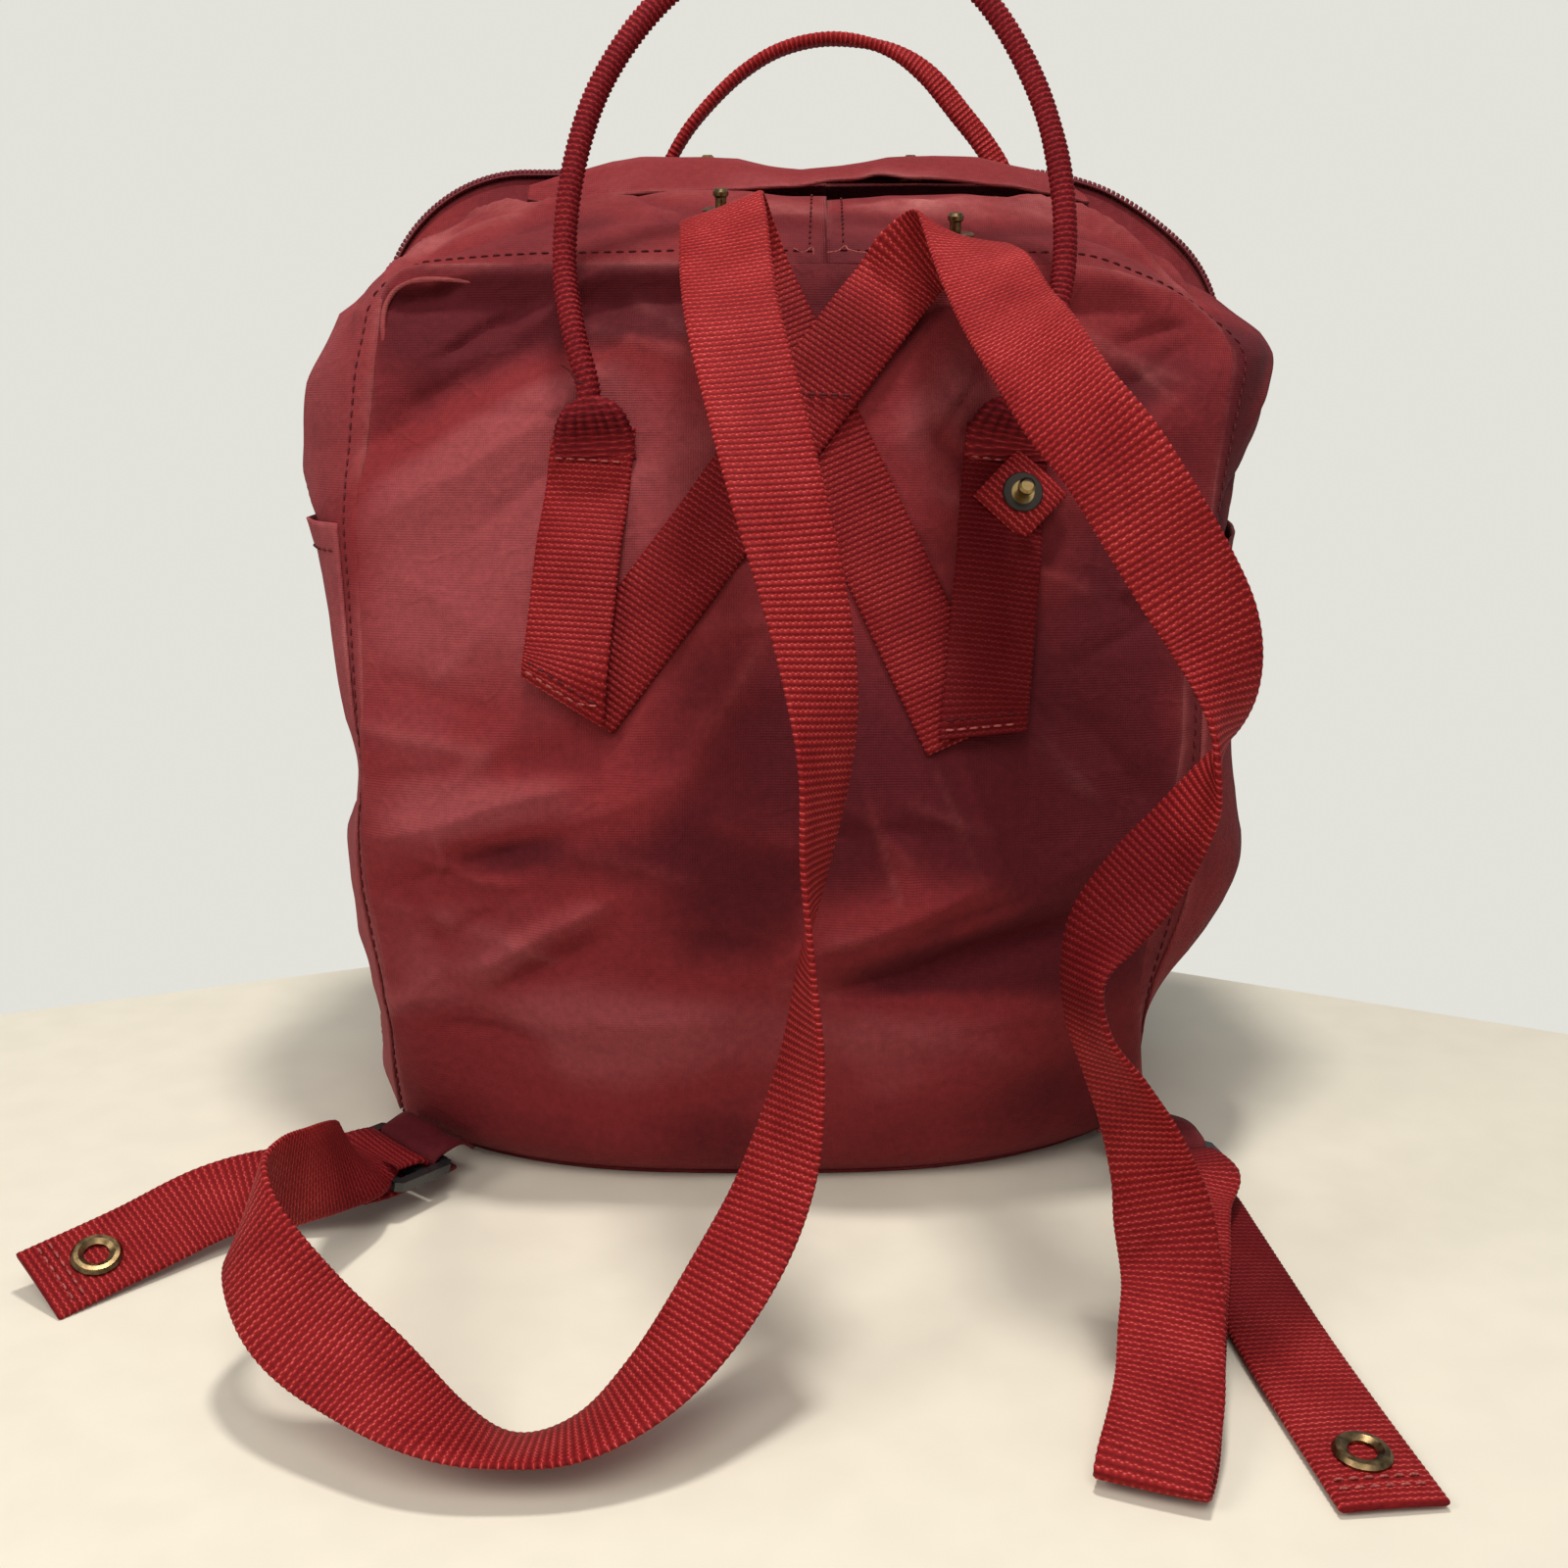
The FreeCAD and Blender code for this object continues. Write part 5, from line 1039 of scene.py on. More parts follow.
def ribbonMesh(name, rows, look, material):
    # A flat ring of sixteen points carried along the rows (six columns: centre and width direction). Every
    # second ring is a rib, a little wider and thicker.
    path, run = smoothPath(rows, look["rib"] / 2)
    centre = path[:, :3]
    ahead = unit(np.gradient(centre, axis=0))
    across = path[:, 3:6]
    across = unit(across - ahead * (across * ahead).sum(-1, keepdims=True))
    normal = unit(np.cross(ahead, across))
    half, deep = look["width"] / 2, look["thick"] / 2
    inner = half - look["corner"]
    marks = [-inner, -inner * 0.6, -inner * 0.2, inner * 0.2, inner * 0.6, inner]
    ring = [(m, -deep) for m in marks] + [(half, -deep * 0.4), (half, deep * 0.4)]
    ring += [(m, deep) for m in marks[::-1]] + [(-half, deep * 0.4), (-half, -deep * 0.4)]
    crest = np.where(np.arange(len(run)) % 2 == 0, 1.0, 0.0)
    points = []
    for place, up in ring:
        scallop = 1.0 + 0.018 * crest * (abs(place) > half * 0.9)
        relief = np.sign(up) * 0.12 * crest * (abs(place) < half * 0.95)
        cup = look["cup"] * (place / half) ** 2
        slant = look["skew"] * place * ease(run[-1] - 20.0, run[-1], run)
        points.append(centre + across * (place * scallop)[:, None] + normal * (up + relief - cup)[:, None]
                      + ahead * slant[:, None])
    count = len(ring)
    u = np.repeat(run / 10.0, count)
    v = np.tile(np.array([place for place, _ in ring]) / 10.0, len(run))
    fade = look["fade"] * (1 - ease(look["fadeEnd"], look["fadeEnd"] + 20.0, run))
    if look["shade"]:
        # painted shade on the stretch that turns under, away from the light
        low, high, amount = look["shade"]
        height = centre[:, 2]
        between = ease(low - 8, low + 8, height) * ease(high + 8, high - 8, height)
        fade = fade + amount * between * (run > look["sewnRun"])
    if look["buckleShadow"]:
        # painted shadow of the loop on the webbing near the buckle
        left = run[-1] - run
        fade = fade + 0.6 * ease(180, 150, left) * ease(50, 85, left)
    piece = makeObject(name, np.stack(points, 1), tubeFaces(len(run), count, flip=True), material,
                       uv=np.stack([u, v], -1), values=dict(fade=np.repeat(fade, count)))
    return piece, centre, across, normal, run


def backNormal(x, z):
    # Outward direction of the plain back panel, from its slopes over 2 mm.
    sx = (plainBackY(x + 1, z) - plainBackY(x - 1, z)) / 2
    sz = (plainBackY(x, z + 1) - plainBackY(x, z - 1)) / 2
    return unit(np.stack([sx, -1.0 + 0 * sx, sz], -1))


def bridged(x, z):
    # The back panel's surface as stiff webbing finds it, which bridges the small folds.
    return np.minimum(backY(x, z), plainBackY(x, z) + 0.8)


def sewnRows(start, end, steps, lift):
    # Rows for a ribbon that lies straight on the back panel, lifted off it by lift of its share of the way.
    t = np.linspace(0, 1, steps + 1)
    x = start[0] + (end[0] - start[0]) * t
    z = start[1] + (end[1] - start[1]) * t
    normal = backNormal(x, z)
    centre = np.stack([x, bridged(x, z), z], -1) + normal * lift(t)[:, None]
    ahead = unit(np.gradient(centre, axis=0))
    return np.concatenate([centre, unit(np.cross(normal, ahead))], 1)


def aligned(rows, first):
    # Width directions that never turn over from one point to the next.
    rows = np.array(rows, dtype=float)
    last = np.asarray(first, dtype=float)
    for i in range(len(rows)):
        a, b = rows[max(i - 1, 0), :3], rows[min(i + 1, len(rows) - 1), :3]
        ahead = unit(b - a)
        across = rows[i, 3:6] - ahead * (rows[i, 3:6] @ ahead)
        across = across / np.linalg.norm(across)
        if across @ last < 0:
            across = -across
        rows[i, 3:6] = across
        last = across
    return rows


# The straps' free runs, from the top seam to the buckle, and their tails: centre, then width direction.
leftRoute = [
    (-12.5, -9.5, 280.5, .84, 0, .5), (-15, -11, 287, .9, 0, .4), (-17, -16.5, 292, .94, 0, .34),
    (-18, -29.5, 292, .94, 0, .34), (-17, -46, 285, .95, .05, .28), (-15.5, -66, 271, .98, .1, .18),
    (-13, -84, 257, .98, .17, .15), (-8.5, -99, 240, .96, .23, .13), (-1.2, -119, 213, .92, .38, .06),
    (5, -130, 190, .83, .56, 0), (9, -138, 168, .69, .72, -.06), (9.7, -142, 150, .5, .86, -.09),
    (7.5, -144.5, 128, .28, .96, -.09), (5.5, -148, 104, -.08, .98, -.15),
    (3.9, -153, 79, -.4, .9, -.16), (-2, -162, 54, -.68, .72, -.08),
    (-12.5, -175, 36, -.77, .63, -.03), (-28.8, -190, 19, -.66, .73, -.17),
    (-46, -198, 9, -.35, .88, -.3), (-62, -200, 7, .05, .93, -.36), (-78, -198, 11.5, .28, .93, -.15),
    (-97, -190, 20, .38, .85, .3), (-112, -183, 28, .5, .6, .62), (-122, -176, 36, .58, .25, .78),
    (-129, -167, 42, .5, .05, .86), (-131.5, -156, 44, .3, .05, .95), (-130, -143, 42, .12, .15, .98),
    (-127.5, -125, 36, 0, .28, .95), (-125.5, -106, 29, -.25, .42, .87), (-124, -90, 23, -.55, .52, .6),
]
leftTail = [
    (-146, -84, 13, -.6, .66, .45), (-164, -93, 12, -.6, .62, .5), (-182, -110, 8.5, -.66, .61, .42),
    (-200.5, -130, 6, -.66, .61, .42),
]
rightRoute = [
    (38, -12.6, 278.5, .8, 0, -.6), (43.5, -14, 283, .86, 0, -.5), (48.5, -19, 285.5, .9, -.05, -.4),
    (52, -29, 284, .95, -.1, -.25), (54, -42, 279, .95, -.25, -.1), (56, -57, 272, .91, -.38, .05),
    (59, -77, 261, .89, -.42, .14), (63, -100, 250, .82, -.5, .28), (69, -119, 236.5, .8, -.48, .34),
    (78, -129, 224, .86, -.34, .36), (86, -134, 211, .91, -.2, .36), (94.5, -137, 197, .94, .03, .34),
    (102, -138, 184, .9, .3, .31), (106, -139.5, 171, .76, .62, .17), (106, -140, 158, .45, .89, .05),
    (102.5, -138, 145, -.05, 1, .05), (97, -136.5, 134, -.28, .94, .19),
    (89, -135.5, 121.5, -.45, .84, .31), (80, -135.5, 109, -.4, .88, .25),
    (74.5, -138, 97, -.22, .97, -.08), (76, -140, 84, -.22, .94, -.25), (83.5, -140, 70, -.41, .86, -.31),
    (90, -140, 57, -.59, .74, -.33), (94.5, -142, 44, -.76, .6, -.25), (96.5, -150, 32, -.95, .2, -.05),
    (96, -161, 24, -.99, .05, .03), (93, -173, 18, -.98, .1, .05), (89.5, -187, 13.5, -.96, .2, .1),
    (85, -199, 10, -.93, .3, .1), (81.5, -207, 7.4, -.93, .33, .05), (80.4, -209.6, 4.8, -.94, .34, 0),
    (81.8, -206.5, 2.4, -.94, .34, 0), (85.5, -198, 1.8, -.95, .32, 0), (92, -178, 2.2, -.95, .3, 0),
    (101, -148, 4.4, -.96, .28, 0), (110, -118, 8.6, -.96, .27, 0), (117, -93, 11.5, -.97, .2, 0),
]
rightTail = [
    (124.5, -96, 5, .98, .1, 0), (126, -122, 4, .99, .06, 0), (127.5, -152, 3.4, .99, .05, 0),
    (130, -182, 2.8, .995, .06, 0), (133, -213, 2.4, .99, .08, 0),
]
# Ends of the straps' sewn runs, on the panel; each buckle's centre, bar and outward direction; tab roots.
sewnRuns = {-1: ((53.0, 142.0), (-9.5, 273.0)), 1: ((-60.0, 150.0), (34.5, 273.0))}
buckles = {
    -1: ((-120, -68, 13), (-.79, .58, .15), (-.5, -.86, .05)),
    1: ((121, -66, 9), (-.97, -.2, 0), (.03, -1, -.02)),
}
cornerRoots = {-1: (-107.5, -50.0, 12.5, -.79, .58, .12), 1: (111.0, -38.8, 11.0, -.84, -.54, 0)}
wrapReach = 3.4  # from a buckle bar's centre to the middle of the cloth or webbing round it


def buckleFrame(side):
    # Centre, and square directions along the bar, away from the bag and up.
    centre, bar, away = (np.array(v, dtype=float) for v in buckles[side])
    bar = unit(bar)
    away = unit(away - bar * (away @ bar))
    up = unit(np.cross(bar, away))
    return centre, bar, away, up if up[2] > 0 else -up


def wrapRows(side, offset, flip, far):
    # Rows of a half turn round a bar, from above it to below it; offset is the bar's place in the buckle.
    centre, bar, away, up = buckleFrame(side)
    centre = centre + away * offset
    away, reach, slant = away * flip, wrapReach, wrapReach * 0.7071
    spots = [centre + away * far + up * (reach + 1.1), centre + up * reach, centre + (up - away) * slant,
             centre - away * reach, centre - (up + away) * slant, centre - up * reach,
             centre + away * far - up * reach]
    return [tuple(spot) + tuple(bar) for spot in spots]


# cross is how far a sewn run rises where it lies over the other one
strapLooks = {
    # both straps paint the shadow of their loop near the buckle; the right strap's shade is painted shade
    # where its free run turns under
    -1: dict(ribbonLook, fade=0.4, fadeEnd=140.0, buckleShadow=True, cross=0.0),
    1: dict(ribbonLook, fade=0.4, fadeEnd=140.0, buckleShadow=True, cross=2.2, shade=(84, 136, 0.6)),
}
sewnLift = 1.2  # from the panel to the middle of webbing that is sewn on it


def makeStrap(side, name, routeRows, tailRows):
    # One ribbon: its sewn run, its free run, round the buckle's bar and out along the tail.
    look = strapLooks[side]

    def lift(t):
        return sewnLift + look["cross"] * ease(0.4, 0.56, t) * (1 - ease(0.9, 1.1, t))

    sewn = sewnRows(*sewnRuns[side], 10, lift)
    free = list(routeRows) + wrapRows(side, 0.0, 1.0, 12.5) + list(tailRows)
    rows = np.concatenate([sewn, aligned(free, sewn[-1, 3:6])])
    piece, *line = ribbonMesh(name, rows, look, webbing)
    dress(piece, "bag", "webbing", "shoulder_strap" + sideEnd[side])
    return line


strapLines = {
    -1: makeStrap(-1, "shoulderStrapLeft", leftRoute, leftTail),
    1: makeStrap(1, "shoulderStrapRight", rightRoute, rightTail),
}

# The strips under the handle's roots: top and foot on the panel, and how slanted the foot is cut.
rootStrips = {
    -1: dict(ribbonLook, top=(-57.0, 230.5), foot=(-64.0, 151.0), skew=0.5, fade=0.2, fadeEnd=200.0),
    # the right strip's strong fade is a painted shadow of the right strap hanging over it
    1: dict(ribbonLook, top=(67.5, 230.0), foot=(57.0, 142.2), skew=-0.22, fade=0.72, fadeEnd=200.0),
}


def makeRootStrip(side, name):
    # A sewn ribbon that rises over the strap which crosses under its foot.
    look = rootStrips[side]
    rows = sewnRows(look["top"], look["foot"], 9, lambda t: sewnLift + 4.0 * ease(0.25, 0.46, t))
    piece, *line = ribbonMesh(name, rows, look, webbing)
    dress(piece, "bag", "webbing", "handle_strip" + sideEnd[side])
    return line


stripLines = {-1: makeRootStrip(-1, "rootStripLeft"), 1: makeRootStrip(1, "rootStripRight")}


cornerTabLook = dict(half=12.5, columns=14, thick=1.0, barPitch=9.5)


def makeCornerTab(side, name, look):
    # A cloth strip from the bag's corner round the buckle's inner bar.
    rows = [cornerRoots[side]] + wrapRows(side, -look["barPitch"], -1.0, 6.0)
    rows = aligned(rows, rows[0][3:6])
    path, run = smoothPath(rows, 1.2)
    centre, ahead = path[:, :3], unit(np.gradient(path[:, :3], axis=0))
    across = unit(path[:, 3:6] - ahead * (path[:, 3:6] * ahead).sum(-1, keepdims=True))
    marks = np.linspace(-look["half"], look["half"], look["columns"])
    uneven = 0.5 * softNoise(run[:, None], marks[None], 7, 121)
    grid = ringPoints(centre, across, unit(np.cross(ahead, across)), marks, uneven)
    wear = np.broadcast_to(np.exp(-(look["half"] - np.abs(marks)) / 1.6), grid.shape[:2])
    tone = np.full(grid.shape[:2], -0.6)
    piece = canvasPiece(name, grid, look, "bag", "corner_tab" + sideEnd[side], tone, 0.6 * wear)
    piece.modifiers["thickness"].offset = 0


makeCornerTab(-1, "cornerTabLeft", cornerTabLook)
makeCornerTab(1, "cornerTabRight", cornerTabLook)

studTabLook = dict(ribbonLook, width=20.0, cup=0.5, x=70.0, z=209.5, turn=42.0, off=5.6)


def makeStudTab(look):
    # A short square of webbing turned on the panel, bowed a little so that its ends lie lower.
    x, z, turn = look["x"], look["z"], math.radians(look["turn"])
    normal = backNormal(np.array(x), np.array(z))
    spot = np.array([x, float(plainBackY(x, z)), z]) + normal * look["off"]
    ahead = np.array([math.sin(turn), 0, math.cos(turn)])
    ahead = unit(ahead - normal * (ahead @ normal))
    across = np.cross(normal, ahead)
    rows = [tuple(spot + ahead * s - normal * (0.02 * s * s)) + tuple(across) for s in (-10, -5, 0, 5, 10)]
    piece, *_ = ribbonMesh("studTabWeb", rows, look, webbing)
    dress(piece, "bag", "webbing", "stud_tab")


makeStudTab(studTabLook)
print("straps and strips made")


# Handles: rolled webbing that opens out flat at its roots.

handleLook = dict(radius=3.3, rib=1.8, ribHeight=0.3, sides=52, hood=14.0, hoodHalf=12.2, hoodDeep=1.2,
                  hoodSwell=2.6, pleat=3.4, pleatHeight=0.7, boxy=0.86, uneven=0.05, twist=0.5,
                  twistRun=60.0, rootZ=230.0, off=6.1)
# x, and depth and height over the roots
handleRoute = [
    (-57.0, 0.0, 0.0), (-58.0, 0.0, 12.0), (-62.0, 4.0, 27.0), (-65.5, 13.0, 48.0), (-63.0, 21.0, 76.0),
    (-54.5, 29.0, 102.0), (-36.0, 36.0, 127.0), (-12.0, 40.5, 143.0), (13.0, 42.5, 150.0),
    (38.0, 41.0, 144.5), (60.0, 36.0, 127.0), (75.5, 28.5, 101.0), (82.5, 20.0, 75.0), (83.5, 12.0, 48.0),
    (78.5, 4.5, 27.0), (70.5, 0.0, 12.0), (67.0, 0.0, 0.0),
]


def boxyRing(turn, sidePower, topPower):
    # Cosine and sine of the turn, both pulled towards a box: the smaller the power, the squarer the ring.
    c, s = np.cos(turn), np.sin(turn)
    return np.sign(c) * np.abs(c) ** sidePower, np.sign(s) * np.abs(s) ** topPower


def makeBackHandle(look):
    # Boxy rings along the route, ribbed and slowly twisting, that open out into a pleated hood at each root.
    rootZ = look["rootZ"]
    rootY = float(min(plainBackY(-57.0, rootZ), plainBackY(67.5, rootZ))) - look["off"]
    points = [(x, rootY + y, rootZ + z) for x, y, z in handleRoute]
    leftX, rightX = points[0][0], points[-1][0]
    first = [(leftX + 0.5, rootY + 1.6, rootZ - 9.0), (leftX + 0.3, rootY + 0.5, rootZ - 4.0)]
    last = [(rightX - 0.3, rootY + 0.5, rootZ - 4.0), (rightX - 0.5, rootY + 1.6, rootZ - 9.0)]
    path, run = smoothPath(first + points[1:-1] + last, look["rib"] / 4)
    across, normal = pathFrame(path, [0.0, -1.0, 0.0])
    fromEnd = np.minimum(run, run[-1] - run)
    # the hood is as wide as its strip
    opening = np.clip((fromEnd - 4.0) / look["hood"], 0, 1)
    flat = 1 - ease(5.0, look["hood"] + 8, fromEnd)
    wide = look["radius"] + (look["hoodHalf"] - look["radius"]) * (1 - opening ** 2.3) ** 0.62
    swell = look["hoodSwell"] * np.exp(-((fromEnd - 12.5) / 5.5) ** 2)
    deep = look["radius"] * (1 - flat) + look["hoodDeep"] * flat + swell
    ridge = look["ribHeight"] * np.cos(2 * np.pi * run / look["rib"])
    rumple = 1 + look["uneven"] * softNoise(run, run * 0, 14, 131)
    turn = around(look["sides"])
    cx, sy = boxyRing(turn, look["boxy"], look["boxy"])
    twist = (look["twist"] * np.sin(run / look["twistRun"]) * (1 - flat))[:, None]
    hooded = np.exp(-((fromEnd - 11.0) / 5.0) ** 2)[:, None]
    fan = np.cos(2 * np.pi * look["hoodHalf"] * cx / look["pleat"]) * hooded
    px = (wide * rumple + ridge)[:, None] * cx
    py = (deep + ridge * (1 - hooded[:, 0]))[:, None] * sy + look["pleatHeight"] * fan * sy
    grid = ringPoints(path, across, normal, px * np.cos(twist) - py * np.sin(twist),
                      px * np.sin(twist) + py * np.cos(twist))
    u = np.repeat(run / 10.0, look["sides"])
    v = np.tile(turn * look["radius"] / 10.0, len(run))
    # fade here is painted shade inside the hood and in the valleys of its pleats
    piece = makeObject("backHandleRolled", grid, tubeFaces(len(run), look["sides"]), rolled,
                       uv=np.stack([u, v], -1), values=dict(fade=0.4 * hooded - 0.4 * fan))
    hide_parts("back_handle")
    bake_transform(piece)
    return rootY


handleRootY = makeBackHandle(handleLook)

frontHandleLook = dict(rootZ=294.0, wide=4.6, deep=2.1, rib=2.1, ribHeight=0.14, sides=16, turned=62.0,
                       turnIn=(0.5, 0.72), turnOut=(1.0, 0.9), boxy=(0.55, 0.75))
# x, and height over the roots
frontHandleRoute = [
    (-46.0, 0.0), (-48.0, 9.0), (-47.5, 18.0), (-43.5, 28.0), (-38.0, 38.0), (-31.0, 47.0), (-16.0, 61.0),
    (-1.0, 69.5), (17.5, 73.0), (38.0, 69.5), (51.5, 61.5), (65.0, 47.0), (73.5, 37.0), (80.0, 27.0),
    (82.0, 18.0), (80.0, 9.0), (76.0, 0.0),
]


def makeFrontHandle(look):
    # Boxy rings along the route; the folded webbing turns its flat side to the back over its right half.
    low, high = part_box("front_handle")
    y = (low.y + high.y) / 2 / mm
    path, run = smoothPath([(x, y, look["rootZ"] + z) for x, z in frontHandleRoute], 0.7)
    ahead = unit(np.gradient(path, axis=0))
    level = np.broadcast_to([0.0, 1.0, 0.0], ahead.shape)
    upright = unit(np.cross(ahead, level))
    share = run / run[-1]
    turned = math.radians(look["turned"]) * ease(*look["turnIn"], share) * ease(*look["turnOut"], share)
    turned = turned[:, None]
    across = level * np.cos(turned) + upright * np.sin(turned)
    normal = upright * np.cos(turned) - level * np.sin(turned)
    flat = 1 - ease(2.0, 14.0, np.minimum(run, run[-1] - run))
    cx, sy = boxyRing(around(look["sides"]), *look["boxy"])
    ridge = look["ribHeight"] * np.cos(2 * np.pi * run / look["rib"])
    grid = ringPoints(path, across, normal, (look["wide"] + ridge)[:, None] * cx,
                      (look["deep"] - 0.5 * flat + ridge)[:, None] * sy)
    u = np.repeat(run / 10.0, look["sides"])
    v = np.tile(cx * 0.45, len(run))
    piece = makeObject("frontHandleWeb", grid, tubeFaces(len(run), look["sides"]), webbing,
                       uv=np.stack([u, v], -1))
    dress(piece, "front_loop", "rolled_webbing", "front_handle")


makeFrontHandle(frontHandleLook)

frontStripLook = dict(ribbonLook, cup=-0.3, foot=250.0, top=301.0, off=2.2)


def makeFrontStrip(x, name, node, look):
    # An upright ribbon on the front panel.
    z = np.linspace(look["top"], look["foot"], 8)
    rows = np.stack([x + 0 * z, frontY(x, z) + look["off"], z, 1 + 0 * z, 0 * z, 0 * z], -1)
    piece, *_ = ribbonMesh(name, rows, look, webbing)
    dress(piece, "front", "webbing", node)


makeFrontStrip(-46.0, "frontStripLeft", "front_handle_strip_left", frontStripLook)
makeFrontStrip(76.0, "frontStripRight", "front_handle_strip_right", frontStripLook)
print("handles made")


# Metal and plastic: the CAD solids with their own finish and softened edges.

studLook = dict(light=(0.42, 0.30, 0.13), dark=(0.20, 0.13, 0.05), washer=(0.035, 0.030, 0.026),
                domeReach=0.0031, washerReach=0.0036)


def studMaterial(look):
    # Brass within the dome's reach of the stud's axis, and a dark washer outside it.
    low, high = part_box("handle_stud")
    middle = (low + high) / 2
    material, g, shader = nodeMaterial("stud with dark washer", Metallic=1.0)
    place = g.coords()
    flatten = g.add("Mapping", Vector=place)
    flatten.inputs["Scale"].default_value = (1.0, 0.0, 1.0)
    reach = g.add("VectorMath", dict(operation="DISTANCE"))
    g.put(flatten.outputs[0], reach.inputs[0])
    reach.inputs[1].default_value = (middle.x, 0.0, middle.z)
    outside = g.ramp(reach.outputs["Value"], look["domeReach"], look["washerReach"])
    grain = g.noise(place, 420.0, 4.0)
    dome = g.mix(grain, look["dark"], look["light"])
    g.put(g.mix(outside, dome, look["washer"]), shader.inputs["Base Color"])
    g.put(g.scaled(grain, 0.2, 0.24), shader.inputs["Roughness"])
    return material


def finishNode(name, material, edge=0.25):
    # Puts the material on a CAD node and rounds its edges by edge millimetres.
    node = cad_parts[name]
    node.data.materials.clear()
    node.data.materials.append(material)
    soft = node.modifiers.new("edges", "BEVEL")
    soft.width = edge * mm
    soft.segments = 2
    soft.limit_method = "ANGLE"


finishNode("handle_stud", studMaterial(studLook))
for kind in ("tail_socket", "strap_stud", "zip_slider", "zip_pull", "ladder_buckle"):
    for side in (-1, 1):
        finishNode(kind + sideEnd[side], buckleBlack if kind == "ladder_buckle" else brass)


# Stitches: short raised threads along lines.

stitchLook = dict(length=2.4, gap=1.1, radius=0.30)


def stitchMesh(name, lines, material, look=stitchLook):
    # Each stitch is a small closed pod: four rings of six points along a low arc over the cloth.
    length, radius = look["length"], look["radius"]
    part = np.array([0.0, 0.25, 0.75, 1.0])[None, :, None, None]
    size = radius * np.array([0.55, 1.0, 1.0, 0.55])[None, :, None, None]
    turn = around(6)[None, None, :, None]
    pods = []
    for line, normal in lines:
        line = np.asarray(line, dtype=float)
        normal = np.broadcast_to(np.asarray(normal, dtype=float), line.shape)
        run = np.concatenate([[0.0], np.cumsum(np.linalg.norm(np.diff(line, axis=0), axis=1))])
        starts = np.arange(0.5, run[-1] - length, length + look["gap"])
        first, last, out = (np.stack([np.interp(at, run, source[:, k]) for k in range(3)], -1)
                            for at, source in ((starts, line), (starts + length, line), (starts, normal)))
        out = unit(out)
        sideways = unit(np.cross(unit(last - first), out))
        first, last, out, sideways = (v[:, None, None, :] for v in (first, last, out, sideways))
        centre = first * (1 - part) + last * part + out * radius * (0.1 + 0.9 * np.sin(math.pi * part))
        pods.append(centre + size * (sideways * np.cos(turn) + out * np.sin(turn)))
    points = np.concatenate(pods)
    piece = makeObject(name, points, repeated(tubeFaces(4, 6), len(points), 4 * 6), material)
    dress(piece, "bag", "webbing")


def gussetLine(side, places, along, lift):
    # A line over the gusset with the outward direction at each point.
    places, along = np.broadcast_arrays(np.asarray(places, dtype=float), np.asarray(along, dtype=float))
    line = sidePoint(side, places, along, lift)
    aside = sidePoint(side, places, along + 0.02, lift) - line
    out = unit(np.cross(np.gradient(line, axis=0), aside))
    outwards = (out * (line - np.array([5.0, 10.0, 140.0]))).sum(-1, keepdims=True)
    return line, out * np.sign(outwards)


def ribbonRow(line, at, low, high, slant=0.0, lift=0.95):
    # A row across a ribbon at that run, from low to high over its width.
    centre, across, normal, run = line
    places = np.linspace(low, high, 8)
    rows = at + slant * places
    spot, wide, out = (np.stack([np.interp(rows, run, source[:, k]) for k in range(3)], -1)
                       for source in (centre, across, normal))
    return spot + wide * places[:, None] + out * lift, out


# Places, share of the depth and lift: beside the back seam over the top and down the side, and beside the
# seam in the middle of the top.
seamRows = [(np.linspace(1.15, 2.97, 120), 0.045, 0.12), (np.linspace(0.04, 1.15, 100), 0.034, 0.12),
            (2.955, np.linspace(0.04, 0.9, 40), 0.4)]


def makeSeamRows():
    # Dark rows on the gussets along their seams, and on the pockets' hems.
    rows = []
    hemZ = sidePocketLook["hem"] - 8.8
    across = np.linspace(0.08, 0.88, 60)
    for side in (-1, 1):
        rows += [gussetLine(side, *row) for row in seamRows]
        lift = pocketLift(side, np.full(60, hemZ), across, sidePocketLook) + 0.35
        rows.append(gussetLine(side, gussetPlace(hemZ), across, lift))
    stitchMesh("seamStitches", rows, thread, dict(stitchLook, radius=0.32, gap=1.5))


def makeWebRows():
    # Pale rows over the webbing near its ends, and dark ones at the strips' feet and where the straps cross.
    paleRows = []
    for side, name in ((-1, "stripFootStitchesLeft"), (1, "stripFootStitchesRight")):
        line, slant = stripLines[side], rootStrips[side]["skew"]
        end = line[3][-1]
        paleRows.append(ribbonRow(line, 11.2, -11, 11, lift=1.3))
        paleRows.append(ribbonRow(line, end - 2.4, -11.5, 11.5, slant))
        stitchMesh(name, [ribbonRow(line, end - 5.4, -11.5, 11.5, slant)], thread)
    x = np.linspace(3.0, 23.0, 8)
    z = 238.0 - 0.03 * (x - 13.0)
    out = backNormal(x, z)
    crossRow = (np.stack([x, bridged(x, z), z], -1) + out * 5.0, out)
    stitchMesh("crossStitches", [crossRow], thread, dict(stitchLook, radius=0.5))
    for side in (-1, 1):
        line = strapLines[side]
        paleRows += [ribbonRow(line, line[3][-1] - back, -11, 11) for back in (5.0, 8.0)]
    stitchMesh("webStitches", paleRows, brightThread, dict(stitchLook, radius=0.36))


makeSeamRows()
makeWebRows()


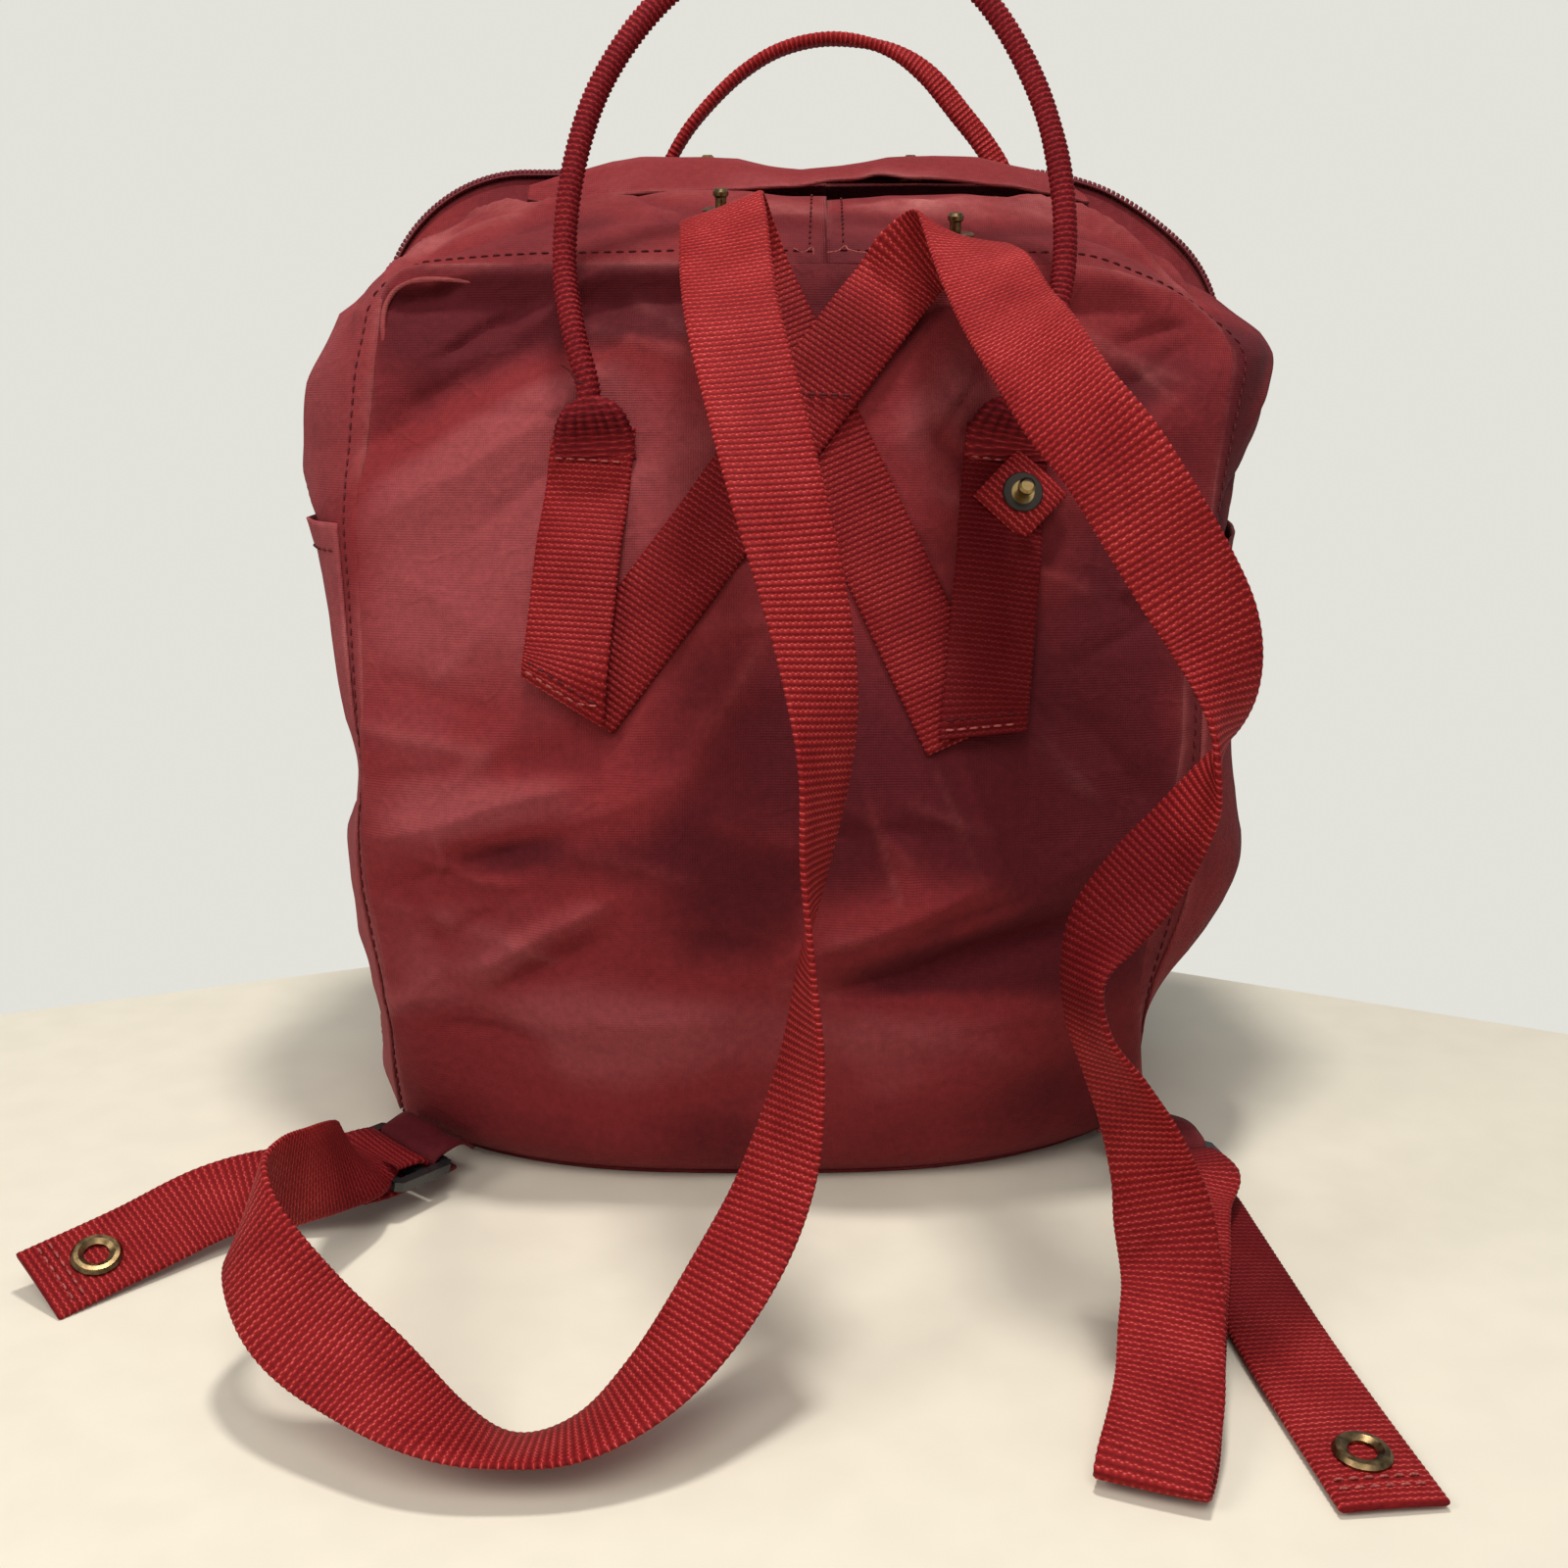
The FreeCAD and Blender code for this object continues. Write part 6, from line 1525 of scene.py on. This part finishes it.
# Loose thread ends: body, thickness, material and the points of a bent line.
looseThreads = {
    "looseThreadHandle": dict(body="carry_handle", radius=0.32, material=thread, spots=[
        (-57.8, handleRootY - 3.1, 242.6), (-60.6, handleRootY - 3.6, 243.6),
        (-62.8, handleRootY - 3.2, 246.6), (-65.2, handleRootY - 3.8, 248.4)]),
    "looseThreadTop": dict(body="bag", radius=0.18, material=brightThread, spots=[
        (13.0, -9.5, 282.2), (16.5, -10.6, 282.6), (18.6, -9.0, 284.2), (19.5, -10.4, 283.0),
        (26.0, -9.2, 282.0)]),
    "looseThreadSeam": dict(body="bag", radius=0.18, material=brightThread, spots=[
        (3.0, -7.5, 283.6), (6.0, -9.4, 282.2), (8.6, -8.6, 283.8), (9.0, -10.0, 281.4)]),
}


def makeThreads():
    # Each is a thin tube of six sides.
    sides = 6
    turn = around(sides)
    for name, look in looseThreads.items():
        path, run = smoothPath(look["spots"], 0.5)
        across, normal = pathFrame(path, [0.3, -0.9, 0.3])
        grid = ringPoints(path, across, normal, look["radius"] * np.cos(turn), look["radius"] * np.sin(turn))
        piece = makeObject(name, grid, tubeFaces(len(run), sides), look["material"],
                           uv=np.zeros((len(run) * sides, 2)))
        dress(piece, look["body"], "webbing")


makeThreads()
print("stitches and threads made")


# Camera, light and stage.

# metres, from here on
stageLook = dict(lens=36.0, eye=(0.0, -0.510, 0.232), tilt=77.0, aim=(0.0, 0.0, 0.12),
                 lampColour=(1.0, 0.97, 0.92), floor=(0.745, 0.690, 0.570), roomLight=(0.93, 0.97, 1.0),
                 roomStrength=0.34, backdrop=(0.765, 0.760, 0.705))
# place, size and power
lamps = {
    "overhead": ((0.03, -0.04, 1.25), 0.16, 8.5),
    "front": ((0.02, -0.85, 1.10), 0.7, 5.6),
    "side": ((-1.00, -0.70, 0.95), 0.6, 5.5),
    "fill": ((0.10, -1.40, 0.75), 0.9, 1.6),
}
floorCorners = [(-1.5, -1.5, 0), (1.5, -1.5, 0), (1.5, -0.56, 0), (0.005, 0.2185, 0), (-1.5, -0.42, 0)]


def makeCamera(look):
    camera = bpy.data.cameras.new("camera")
    camera.lens = camera.sensor_width = look["lens"]
    eye = addObject("camera", camera)
    eye.location = look["eye"]
    eye.rotation_euler = (math.radians(look["tilt"]), 0.0, 0.0)
    bpy.context.scene.camera = eye


def makeFloor(look):
    mesh = bpy.data.meshes.new("floor")
    mesh.from_pydata(floorCorners, [], [list(range(len(floorCorners)))])
    floorPiece = addObject("floor", mesh)
    cream = plainMaterial("cream floor", look["floor"], 0.7, bumpScale=60.0, bumpSize=0.0001, vary=0.015)
    mesh.materials.append(cream)


def makeLamps(look):
    # Round area lamps that all point at the middle of the bag.
    for name, (place, size, power) in lamps.items():
        lamp = bpy.data.lights.new(name, "AREA")
        lamp.shape, lamp.size, lamp.energy = "DISK", size, power
        lamp.color = look["lampColour"]
        holder = addObject(name, lamp)
        holder.location = place
        aim = Vector(look["aim"]) - Vector(place)
        holder.rotation_euler = aim.to_track_quat("-Z", "Y").to_euler()


def makeRoom(look):
    # A weak pale light from all round; the camera, and rays that pass through, see the backdrop's colour.
    world = bpy.data.worlds.new("pale room")
    world.use_nodes = True
    bpy.context.scene.world = world
    g = NodeGraph(world.node_tree)
    background = g.nodes["Background"]
    g.put(look["roomLight"], background.inputs["Color"])
    g.put(look["roomStrength"], background.inputs["Strength"])
    seen = g.add("Background", Color=look["backdrop"])
    path = g.add("LightPath")
    mix = g.add("MixShader")
    rays = g.calc("MAXIMUM", path.outputs["Is Camera Ray"], path.outputs["Is Transmission Ray"])
    for source, socket in zip((rays, background.outputs[0], seen.outputs[0]), mix.inputs):
        g.put(source, socket)
    g.put(mix.outputs[0], g.nodes["World Output"].inputs["Surface"])


makeCamera(stageLook)
makeFloor(stageLook)
makeLamps(stageLook)
makeRoom(stageLook)
bpy.context.scene.view_settings.view_transform = "Standard"
print("stage made")
